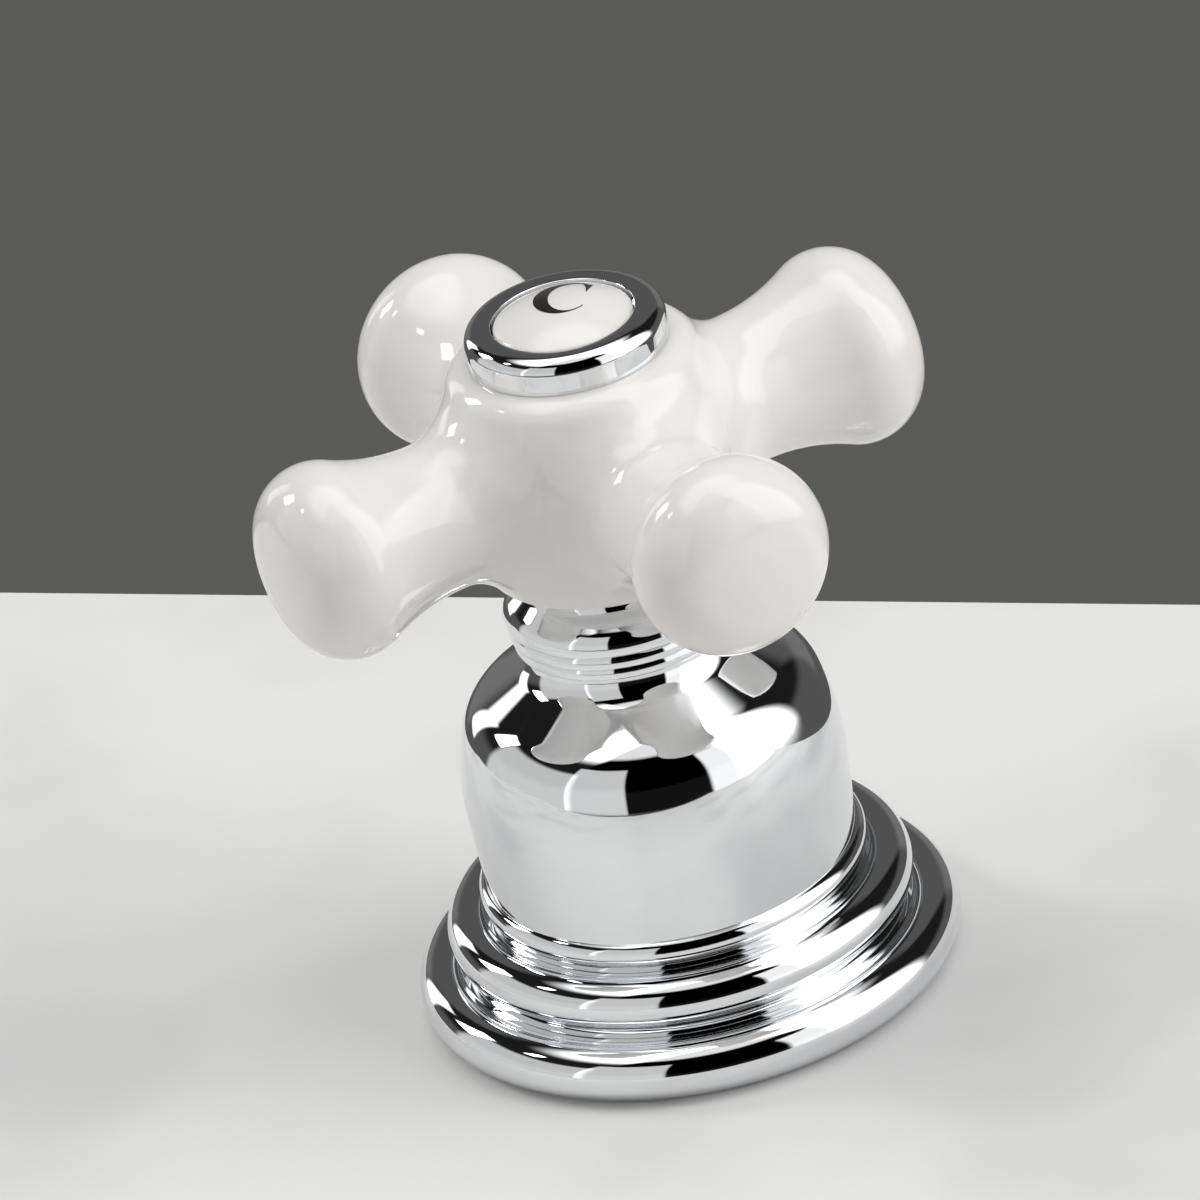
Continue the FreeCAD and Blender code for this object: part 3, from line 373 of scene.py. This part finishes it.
def arm_distance(along, off):
    """Signed distance of one arm, in its own (along, off axis) plane."""
    run, drop = END_REACH - WAIST_REACH, WAIST - END_OFFSET
    flare = (run * run + drop * drop - END_ROUND * END_ROUND) / (2 * (END_ROUND - drop))
    flare_at = np.array((WAIST_REACH, WAIST + flare))
    end_at = np.array((END_REACH, END_OFFSET))
    tip_back = math.sqrt((TIP_RADIUS - END_ROUND) ** 2 - END_OFFSET ** 2)
    tip_at = np.array((END_REACH - tip_back, 0.0))
    straight = off - WAIST
    hollow = flare - np.hypot(along - flare_at[0], off - flare_at[1])
    rounded = np.hypot(along - end_at[0], off - end_at[1]) - END_ROUND
    tip = np.hypot(along - tip_at[0], off - tip_at[1]) - TIP_RADIUS
    way = end_at - flare_at
    past = way[0] * (off - flare_at[1]) - way[1] * (along - flare_at[0])
    steep = np.arctan2(off - tip_at[1], along - tip_at[0])
    limit = math.atan2(*(end_at - tip_at)[::-1])
    result = np.where(along < WAIST_REACH, straight, np.where(past < 0, hollow, rounded))
    on_tip = (steep < limit) & (along > tip_at[0] + TIP_START) & (past >= 0)
    return np.where(on_tip, tip, result)


def cross_distance(p):
    """Signed distance of the whole cross: hub and arms blended, then bored."""
    x, y, z = p[..., 0], p[..., 1], p[..., 2]
    along = np.maximum(np.abs(x), np.abs(y))
    aside = np.minimum(np.abs(x), np.abs(y))
    radius = np.hypot(x, y)
    arms = arm_distance(along, np.hypot(aside, z))
    hub = hub_distance(radius, z)
    a = np.maximum(BLEND - hub, 0.0)
    b = np.maximum(BLEND - arms, 0.0)
    whole = np.maximum(BLEND, np.minimum(hub, arms)) - np.hypot(a, b)
    whole = np.maximum(whole, HUB_LOW - z)
    for bore, low, high in HUB_BORES:
        hole = np.maximum(radius - bore, np.maximum(low - z, z - high))
        whole = np.maximum(whole, -hole)
    return whole


def surface_net(distance, low, high, step):
    """Quad mesh of the zero level of a distance field."""
    axes = [np.arange(low[i], high[i] + step, step) for i in range(3)]
    grid = np.stack(np.meshgrid(*axes, indexing="ij"), axis=-1)
    field = distance(grid)
    inside = field < 0
    shape = np.array(field.shape) - 1
    total = np.zeros((*shape, 3))
    hits = np.zeros(shape)
    for axis in range(3):
        others = [i for i in range(3) if i != axis]
        for a in (0, 1):
            for b in (0, 1):
                first = [slice(0, n) for n in shape]
                first[others[0]] = slice(a, shape[others[0]] + a)
                first[others[1]] = slice(b, shape[others[1]] + b)
                second = list(first)
                second[axis] = slice(1, shape[axis] + 1)
                f0, f1 = field[tuple(first)], field[tuple(second)]
                crosses = (f0 < 0) != (f1 < 0)
                share = np.where(crosses, f0 / np.where(crosses, f0 - f1, 1.0), 0.0)
                place = np.zeros((*shape, 3))
                place[..., axis] = share
                place[..., others[0]] = a
                place[..., others[1]] = b
                total += np.where(crosses[..., None], place, 0.0)
                hits += crosses
    active = hits > 0
    number = np.full(shape, -1)
    number[active] = np.arange(active.sum())
    index = np.argwhere(active)
    vertices = np.array(low) + (index + total[active] / hits[active][:, None]) * step
    faces = []
    for axis in range(3):
        u, v = [(1, 2), (2, 0), (0, 1)][axis]
        first = [slice(1, n) for n in shape]
        first[axis] = slice(0, shape[axis])
        second = list(first)
        second[axis] = slice(1, shape[axis] + 1)
        in0, in1 = inside[tuple(first)], inside[tuple(second)]
        found = np.argwhere(in0 != in1)
        outward = in0[in0 != in1]
        base = found.copy()
        base[:, u] += 1
        base[:, v] += 1
        corners = []
        for du, dv in ((-1, -1), (0, -1), (0, 0), (-1, 0)):
            cell = base.copy()
            cell[:, u] += du
            cell[:, v] += dv
            corners.append(number[tuple(cell.T)])
        quads = np.stack(corners, axis=1)
        faces.append(np.where(outward[:, None], quads, quads[:, ::-1]))
    return vertices, np.concatenate(faces)


def settle(vertices, distance, step):
    """Moves net vertices onto the exact surface, no further than part of a cell."""
    start = vertices.copy()
    for _ in range(SETTLE_ROUNDS):
        slope = np.stack([(distance(vertices + d) - distance(vertices - d)) / (2 * SLOPE_STEP)
                          for d in np.eye(3) * SLOPE_STEP], axis=-1)
        size = np.maximum((slope ** 2).sum(axis=-1), LEAST_SLOPE)
        vertices = vertices - slope * (distance(vertices) / size)[:, None]
        shift = vertices - start
        length = np.linalg.norm(shift, axis=1)
        kept = np.minimum(1.0, SETTLE_REACH * step / np.maximum(length, 1e-9))
        vertices = start + shift * kept[:, None]
    return vertices


def make_cross(material):
    low, high = (-NET_REACH, -NET_REACH, NET_LOW), (NET_REACH, NET_REACH, NET_HIGH)
    vertices, faces = surface_net(cross_distance, low, high, NET_STEP)
    vertices = settle(vertices, cross_distance, NET_STEP)
    vertices[:, 2] += ARM_HEIGHT
    item = mesh_object("porcelain_cross", vertices * MM, faces.tolist(), "handle", material,
                       crease=CROSS_CREASE)
    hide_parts("cross_handle")


# ---------------------------------------------------------------- bell and flange
# A bead is (radius of its middle, rounding, height of its middle).

BEAD_LEAN = 60.0  # degrees above and below a bead's middle at which its ends are taken
FLANGE_BEAD = (25.5, 3.0, 2.9)
FLANGE_WIDEST = 28.5
MIDDLE_BEAD = (21.8, 2.7, 8.9)
MIDDLE_WIDEST = 24.5
TOP_BEAD = (18.9, 1.5, 13.2)
FLANGE_FOOT = 26.268
RECESS_RADIUS = 25.3
RECESS_HEIGHT = 2.2
WALL_FOOT = 19.5
WALL = (20.05, 24.1)
WALL_BULGE = 0.29
SHOULDER = (18.9, 31.8)
SHOULDER_BULGE = 0.474
CROWN = (15.75, 35.76)
COVE_FOOT = (12.07, 37.88)
COVE_RADIUS = 3.54
BELL_TOP = (10.3, 40.95)
NECK_BORE = 9.0
NECK_FOOT = 35.0
BELL_BORE = 18.0
BELL_BORE_HEIGHT = 26.0
BELL_ROOF_RADIUS = 9.0
BELL_EASE = 0.16
BELL_SEGMENTS = 288


def bead(middle, radius, height):
    """A bead's outer radius, low and high ends and inner radius, at its lean."""
    lean = math.radians(BEAD_LEAN)
    out = middle + radius * math.cos(lean)
    low = height - radius * math.sin(lean)
    high = height + radius * math.sin(lean)
    return out, low, high, middle - radius * math.cos(lean)


def make_bell(material):
    _, _, flange_up, flange_in = bead(*FLANGE_BEAD)
    mid_out, mid_low, mid_up, mid_in = bead(*MIDDLE_BEAD)
    top_out, top_low, top_up, _ = bead(*TOP_BEAD)
    outline = [
        (RECESS_RADIUS, 0.0),
        (FLANGE_FOOT, 0.0, FLANGE_BEAD[1], 1),
        (FLANGE_WIDEST, FLANGE_BEAD[2], FLANGE_BEAD[1], 1),
        (flange_in, flange_up),
        (mid_out, flange_up),
        (mid_out, mid_low, MIDDLE_BEAD[1], 1),
        (MIDDLE_WIDEST, MIDDLE_BEAD[2], MIDDLE_BEAD[1], 1),
        (mid_in, mid_up),
        (top_out, mid_up),
        (top_out, top_low, TOP_BEAD[1], 1),
        (top_out, top_up),
        (WALL_FOOT, top_up),
        (*WALL, bulge_radius(WALL, SHOULDER, WALL_BULGE), 1),
        (*SHOULDER, bulge_radius(SHOULDER, CROWN, SHOULDER_BULGE), 1),
        CROWN,
        (*COVE_FOOT, COVE_RADIUS, -1),
        BELL_TOP,
        (NECK_BORE, BELL_TOP[1]),
        (NECK_BORE, NECK_FOOT, BELL_ROOF_RADIUS, -1),
        (BELL_BORE, BELL_BORE_HEIGHT),
        (BELL_BORE, RECESS_HEIGHT),
        (RECESS_RADIUS, RECESS_HEIGHT),
    ]
    item = turned("bell_chrome", profile(outline, BELL_EASE), "valve", material, BELL_SEGMENTS)
    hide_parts("bell_escutcheon")


# ---------------------------------------------------------------- ferrule

SKIRT_BORE = 6.6
SKIRT_BORE_TOP = 40.1
SKIRT_RADIUS = 8.0
SKIRT_LOW = 33.6
SKIRT_TOP = 41.25
FERRULE_BEADS = (
    # radius of its middle, rounding, height of its middle, low end, high end
    (9.8, 1.8, 41.6, SKIRT_TOP, 42.65),
    (10.05, 1.9, 43.0, 42.65, 44.21),
    (9.3, 2.85, 44.56, 44.21, 46.68),
)
NECK_LOW = (10.15, 47.63)
NECK_TOP = (9.3, 49.5)
NECK_HOLLOW = 0.22
SPIGOT_RADIUS = 7.2
SPIGOT_TOP = 55.0
BOSS_RADIUS = 5.0
BOSS_TOP = 58.0
SCREW_BORE = 2.3
SPLINE_BORE = 3.6
SPLINE_TOP = 52.5
FERRULE_EASE = 0.14
FERRULE_SEGMENTS = 256


def make_ferrule(material):
    outline = [(SKIRT_BORE, SKIRT_LOW), (SKIRT_RADIUS, SKIRT_LOW), (SKIRT_RADIUS, SKIRT_TOP)]
    for middle, rounding, height, low, high in FERRULE_BEADS:
        foot = middle + math.sqrt(rounding ** 2 - (height - low) ** 2)
        head = middle + math.sqrt(rounding ** 2 - (high - height) ** 2)
        outline += [(foot, low, rounding, 1), (head, high)]
    outline += [
        (*NECK_LOW, bulge_radius(NECK_LOW, NECK_TOP, NECK_HOLLOW), -1),
        NECK_TOP,
        (SPIGOT_RADIUS, NECK_TOP[1]),
        (SPIGOT_RADIUS, SPIGOT_TOP),
        (BOSS_RADIUS, SPIGOT_TOP),
        (BOSS_RADIUS, BOSS_TOP),
        (SCREW_BORE, BOSS_TOP),
        (SCREW_BORE, SPLINE_TOP),
        (SPLINE_BORE, SPLINE_TOP),
        (SPLINE_BORE, SKIRT_BORE_TOP),
        (SKIRT_BORE, SKIRT_BORE_TOP),
    ]
    item = turned("ferrule_chrome", profile(outline, FERRULE_EASE), "handle", material,
                  FERRULE_SEGMENTS)
    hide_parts("hub_ferrule")


# ---------------------------------------------------------------- index rim and disc

RIM_SKIRT = 6.8
RIM_SKIRT_BORE = 5.6
RIM_SKIRT_LOW = 69.14
RIM_SEAT = 74.14
RIM_RADIUS = 10.5
RIM_CORNER_LOW = 76.2
RIM_CORNER = 1.7
RIM_TOP = (8.8, 77.9)
RIM_LIP = (7.5, 77.75)
RIM_FLOOR = 75.74
RIM_HOLE = 5.2
RIM_EASE = 0.12
RIM_SEGMENTS = 224
DISC_RADIUS = 7.3
DISC_EDGE = 77.49
DISC_CROWN = 1.9
DISC_STEM = 4.2
DISC_STEM_LOW = 74.54
DISC_EASE = 0.35
DISC_SEGMENTS = 192
DOME = (DISC_RADIUS ** 2 + DISC_CROWN ** 2) / (2 * DISC_CROWN)  # radius of the disc's crown


def make_rim(material):
    outline = [
        (RIM_SKIRT_BORE, RIM_SKIRT_LOW),
        (RIM_SKIRT, RIM_SKIRT_LOW),
        (RIM_SKIRT, RIM_SEAT),
        (RIM_RADIUS, RIM_SEAT),
        (RIM_RADIUS, RIM_CORNER_LOW, RIM_CORNER, 1),
        RIM_TOP,
        RIM_LIP,
        (RIM_LIP[0], RIM_FLOOR),
        (RIM_HOLE, RIM_FLOOR),
        (RIM_HOLE, RIM_SEAT),
        (RIM_SKIRT_BORE, RIM_SEAT),
    ]
    item = turned("rim_chrome", profile(outline, RIM_EASE), "handle", material, RIM_SEGMENTS)
    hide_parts("index_rim")


def make_disc(material):
    outline = [
        (0.0, DISC_STEM_LOW),
        (DISC_STEM, DISC_STEM_LOW),
        (DISC_STEM, RIM_FLOOR),
        (DISC_RADIUS, RIM_FLOOR),
        (DISC_RADIUS, DISC_EDGE, DOME, 1),
        (0.0, DISC_EDGE + DISC_CROWN),
    ]
    item = turned("disc_porcelain", profile(outline, DISC_EASE), "handle", material, DISC_SEGMENTS)
    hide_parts("index_disc")


# ---------------------------------------------------------------- letter
# Its points are (right, up) from the middle of the disc, before the letter is turned.

LETTER_TURN = math.radians(-38.0)
LETTER_THICK = 0.02  # above the dome, and as far below it
LETTER_ACROSS = 6
BOWL_START = 47.0
BOWL_SWEEP = 271.0
BOWL_STEPS = 72
BOWL_OUTER = (0.15, 1.7, 3.2, 3.97)  # centre right, centre up, half width, half height
BOWL_INNER = (0.85, 1.62, 2.28, 3.45)
BEAK_STEPS = 16
BEAK_LEFT = (1.45, 5.05)
BEAK_LEFT_WAY = (0.87, -2.75)
BEAK_RIGHT = (2.62, 4.62)
BEAK_RIGHT_WAY = (-0.2, -2.32)
BEAK_CURVE = 1.6


def dome_height(x, y):
    return DISC_EDGE + DISC_CROWN - DOME + math.sqrt(DOME * DOME - x * x - y * y)


def on_ellipse(ellipse, angle):
    right, up, half_width, half_height = ellipse
    return right + half_width * math.cos(angle), up + half_height * math.sin(angle)


def make_letter(material):
    """Capital C of a plain book face, printed on the dome and read from the front of the basin."""
    vertices, faces = [], []

    def add(point, lift):
        x = point[0] * math.cos(LETTER_TURN) - point[1] * math.sin(LETTER_TURN)
        y = point[0] * math.sin(LETTER_TURN) + point[1] * math.cos(LETTER_TURN)
        vertices.append((x * MM, y * MM, (dome_height(x, y) + lift) * MM))

    def stroke(rows):
        """Closed band between two lines, given as rows of a right-hand and a left-hand point."""
        first_point, wide, last = len(vertices), LETTER_ACROSS + 1, len(rows) - 1
        for lift in (-LETTER_THICK, LETTER_THICK):
            base = len(vertices)
            for a, b in rows:
                for k in range(wide):
                    t = k / LETTER_ACROSS
                    add((a[0] + (b[0] - a[0]) * t, a[1] + (b[1] - a[1]) * t), lift)
            for row in range(last):
                for k in range(LETTER_ACROSS):
                    p = base + row * wide + k
                    quad = (p, p + 1, p + wide + 1, p + wide)
                    faces.append(quad if lift < 0 else quad[::-1])
        layer = len(rows) * wide
        edge = [row * wide for row in range(last + 1)]
        edge += [last * wide + k for k in range(1, LETTER_ACROSS)]
        edge += [row * wide + LETTER_ACROSS for row in range(last, -1, -1)]
        edge += [k for k in range(LETTER_ACROSS - 1, 0, -1)]
        for one, two in zip(edge, edge[1:] + edge[:1]):
            one, two = one + first_point, two + first_point
            faces.append((one, two, two + layer, one + layer))

    bowl = []
    for step in range(BOWL_STEPS + 1):
        angle = math.radians(BOWL_START + step / BOWL_STEPS * BOWL_SWEEP)
        bowl.append((on_ellipse(BOWL_OUTER, angle), on_ellipse(BOWL_INNER, angle)))
    stroke(bowl)
    beak = []
    for step in range(BEAK_STEPS + 1):
        t = step / BEAK_STEPS
        lean = 1.0 - (1.0 - t) ** BEAK_CURVE
        left = BEAK_LEFT[0] + BEAK_LEFT_WAY[0] * lean, BEAK_LEFT[1] + BEAK_LEFT_WAY[1] * t
        right = BEAK_RIGHT[0] + BEAK_RIGHT_WAY[0] * t, BEAK_RIGHT[1] + BEAK_RIGHT_WAY[1] * t
        beak.append((left, right))
    stroke(beak)
    item = mesh_object("cold_letter", vertices, faces, "handle", material)


# ---------------------------------------------------------------- counter

COUNTER_HALF = 9.2  # half its thickness between the rounded edges
COUNTER_EDGE = 0.8
COUNTER_MIDDLE = -10.02
COUNTER_WAY = math.radians(-47.3)
COUNTER_CORNERS = ((-420, -330), (420, -330), (420, 74.0), (-420, 74.0))
COUNTER_HOLE = 16.3
HOLE_STEPS = 96
STONE_PALE = (0.80, 0.80, 0.795)
STONE_CLOUD = (0.66, 0.66, 0.665)
STONE_SCALE = 14.0
STONE_LIMITS = (0.45, 0.75)  # noise values between which the cloud comes in
STONE_ROUGHNESS = 0.4
STONE_SPECULAR = 0.03


def make_counter():
    """Pale stone counter, 20 mm thick, with a hole for the shank."""
    data = bpy.data.curves.new("counter", "CURVE")
    data.dimensions = "2D"
    data.fill_mode = "BOTH"
    data.extrude = COUNTER_HALF * MM
    data.bevel_depth = COUNTER_EDGE * MM
    data.bevel_resolution = 3
    along = Vector((math.cos(COUNTER_WAY), math.sin(COUNTER_WAY)))
    back = Vector((-along.y, along.x))
    corners = [along * a + back * b for a, b in COUNTER_CORNERS]
    hole = [Vector((COUNTER_HOLE * math.cos(t), COUNTER_HOLE * math.sin(t)))
            for t in np.linspace(0, 2 * math.pi, HOLE_STEPS + 1)[:-1]]
    for points in (corners, hole):
        spline = data.splines.new("POLY")
        spline.points.add(len(points) - 1)
        for target, point in zip(spline.points, points):
            target.co = (point.x * MM, point.y * MM, 0.0, 1.0)
        spline.use_cyclic_u = True
    item = bpy.data.objects.new("counter", data)
    item.location = (0.0, 0.0, COUNTER_MIDDLE * MM)
    scene.collection.objects.link(item)
    stone, tree, shader, place = principled("pale_stone")
    cloud = noise(tree, place, STONE_SCALE, 3.0)
    share = ramp(tree, cloud, *STONE_LIMITS, 0.0, 1.0)
    colour_between(tree, shader, share, STONE_PALE, STONE_CLOUD)
    shader.inputs["Roughness"].default_value = STONE_ROUGHNESS
    shader.inputs["Specular IOR Level"].default_value = STONE_SPECULAR
    data.materials.append(stone)


# ---------------------------------------------------------------- studio light
# Directions are in degrees: round Z from the viewing side, and up from the horizon.

LIGHT_PATCHES = (
    # centre round, centre up, half width, half height, softness, strength
    (76.0, 28.0, 16.0, 26.0, 14.0, 2.5),
    (-39.0, 21.0, 18.0, 25.0, 1.5, 0.64),
    (-86.0, 15.0, 29.0, 19.0, 5.0, 0.6),
    (45.0, 22.0, 12.5, 26.0, 3.0, 1.05),
    (5.5, 21.0, 26.5, 25.0, 0.8, -0.09),
    (-124.0, 32.0, 4.5, 6.0, 2.5, 14.0),
    (-143.0, 14.0, 4.0, 13.0, 3.0, 1.6),
    (-97.0, 46.0, 3.0, 2.0, 1.5, 9.0),
    (0.0, 70.0, 42.0, 16.0, 10.0, -1.5),
    (180.0, 18.0, 34.0, 24.0, 8.0, 0.085),
    (-180.0, 18.0, 26.0, 24.0, 8.0, 0.085),
)
HORIZON = (8.0, 20.0, 0.085, 0.0)  # low and high limit, strength below and above them
OVERHEAD = (52.0, 68.0, 0.012, 2.4)
LIGHT_COLOUR = (1.0, 0.995, 0.985, 1.0)
BACKDROP_COLOUR = (0.104, 0.104, 0.1, 1.0)
TO_DEGREES = 180.0 / math.pi


def patch_share(tree, value, centre, half, soft):
    gap = maths(tree, "ABSOLUTE", maths(tree, "SUBTRACT", value, centre))
    return ramp(tree, gap, half, half + soft, 1.0, 0.0)


def make_world():
    """Soft studio light painted by direction; the camera sees a plain grey backdrop instead."""
    world = bpy.data.worlds.new("studio")
    scene.world = world
    tree = node_tree(world)
    way = tree.nodes.new("ShaderNodeTexCoord").outputs["Generated"]
    split = tree.nodes.new("ShaderNodeSeparateXYZ")
    tree.links.new(way, split.inputs[0])
    x, y, z = split.outputs
    height = maths(tree, "MULTIPLY", maths(tree, "ARCSINE", z), TO_DEGREES)
    facing = math.radians(VIEW_SIDE)
    front = maths(tree, "ADD", maths(tree, "MULTIPLY", x, math.cos(facing)),
                  maths(tree, "MULTIPLY", y, math.sin(facing)))
    side = maths(tree, "ADD", maths(tree, "MULTIPLY", x, -math.sin(facing)),
                 maths(tree, "MULTIPLY", y, math.cos(facing)))
    around = maths(tree, "MULTIPLY", maths(tree, "ARCTAN2", side, front), TO_DEGREES)
    low = ramp(tree, height, *HORIZON)
    total = maths(tree, "ADD", ramp(tree, height, *OVERHEAD), low)
    for centre, level, wide, tall, soft, strength in LIGHT_PATCHES:
        across = patch_share(tree, around, centre, wide, soft)
        upward = patch_share(tree, height, level, tall, soft)
        patch = maths(tree, "MULTIPLY", maths(tree, "MULTIPLY", across, upward), strength)
        total = maths(tree, "ADD", total, patch)
    total = maths(tree, "MAXIMUM", total, 0.0)
    rays = tree.nodes.new("ShaderNodeLightPath")
    light = tree.nodes.new("ShaderNodeBackground")
    light.inputs["Color"].default_value = LIGHT_COLOUR
    tree.links.new(total, light.inputs["Strength"])
    seen = tree.nodes.new("ShaderNodeBackground")
    seen.inputs["Color"].default_value = BACKDROP_COLOUR
    choose = tree.nodes.new("ShaderNodeMixShader")
    tree.links.new(rays.outputs["Is Camera Ray"], choose.inputs[0])
    tree.links.new(light.outputs[0], choose.inputs[1])
    tree.links.new(seen.outputs[0], choose.inputs[2])
    out = tree.nodes.new("ShaderNodeOutputWorld")
    tree.links.new(choose.outputs[0], out.inputs["Surface"])


# ---------------------------------------------------------------- finishes
# Colours are linear, and grain and bump_scale are noise scales per metre.

chrome = surface("chrome", (0.80, 0.81, 0.83), (0.83, 0.84, 0.855), 0.03, metal=1.0,
                 rough_spread=0.012, grain=900.0, bump=0.0006, bump_scale=120.0)
porcelain = surface("porcelain", (0.85, 0.84, 0.825), (0.835, 0.822, 0.805), 0.04,
                    rough_spread=0.012, grain=90.0, bump=0.01, bump_scale=70.0, subsurface=0.25)
ink = surface("ink", (0.012, 0.011, 0.011), (0.03, 0.026, 0.025), 0.2, rough_spread=0.05)
brass = surface("brass", (0.70, 0.52, 0.24), (0.58, 0.42, 0.19), 0.26, metal=1.0, rough_spread=0.07,
                grain=420.0, stretch=(1.0, 1.0, 9.0), bump=0.008, bump_scale=900.0)
steel = surface("steel", (0.60, 0.60, 0.61), (0.50, 0.50, 0.52), 0.28, metal=1.0,
                rough_spread=0.08, grain=500.0, bump=0.004, bump_scale=1200.0)
rubber = surface("rubber", (0.018, 0.018, 0.019), (0.032, 0.031, 0.03), 0.55,
                 rough_spread=0.1, grain=500.0, bump=0.03, bump_scale=1500.0)
nylon = surface("nylon", (0.80, 0.79, 0.75), (0.74, 0.73, 0.69), 0.42,
                rough_spread=0.06, grain=260.0, bump=0.01, bump_scale=700.0)
soft_clear = surface("soft_clear", (0.66, 0.66, 0.64), (0.60, 0.60, 0.58), 0.35,
                     rough_spread=0.05, grain=300.0)
ceramic = surface("ceramic", (0.86, 0.85, 0.81), (0.80, 0.79, 0.75), 0.3,
                  rough_spread=0.05, grain=400.0)

LOOKS = {
    "chrome_plate": chrome,
    "white_porcelain": porcelain,
    "yellow_brass": brass,
    "stainless_steel": steel,
    "black_rubber": rubber,
    "white_nylon": nylon,
    "clear_washer": soft_clear,
    "sintered_ceramic": ceramic,
}

# ---------------------------------------------------------------- build

for part in frame["record"]["subparts"]:
    node = frame["nodes"][part["node"]]
    node.data.materials.clear()
    node.data.materials.append(LOOKS[part["material_slot"]])

make_camera()
make_bell(chrome)
make_ferrule(chrome)
make_rim(chrome)
make_disc(porcelain)
make_letter(ink)
make_cross(porcelain)
make_counter()
make_world()

scene.view_settings.view_transform = "Standard"
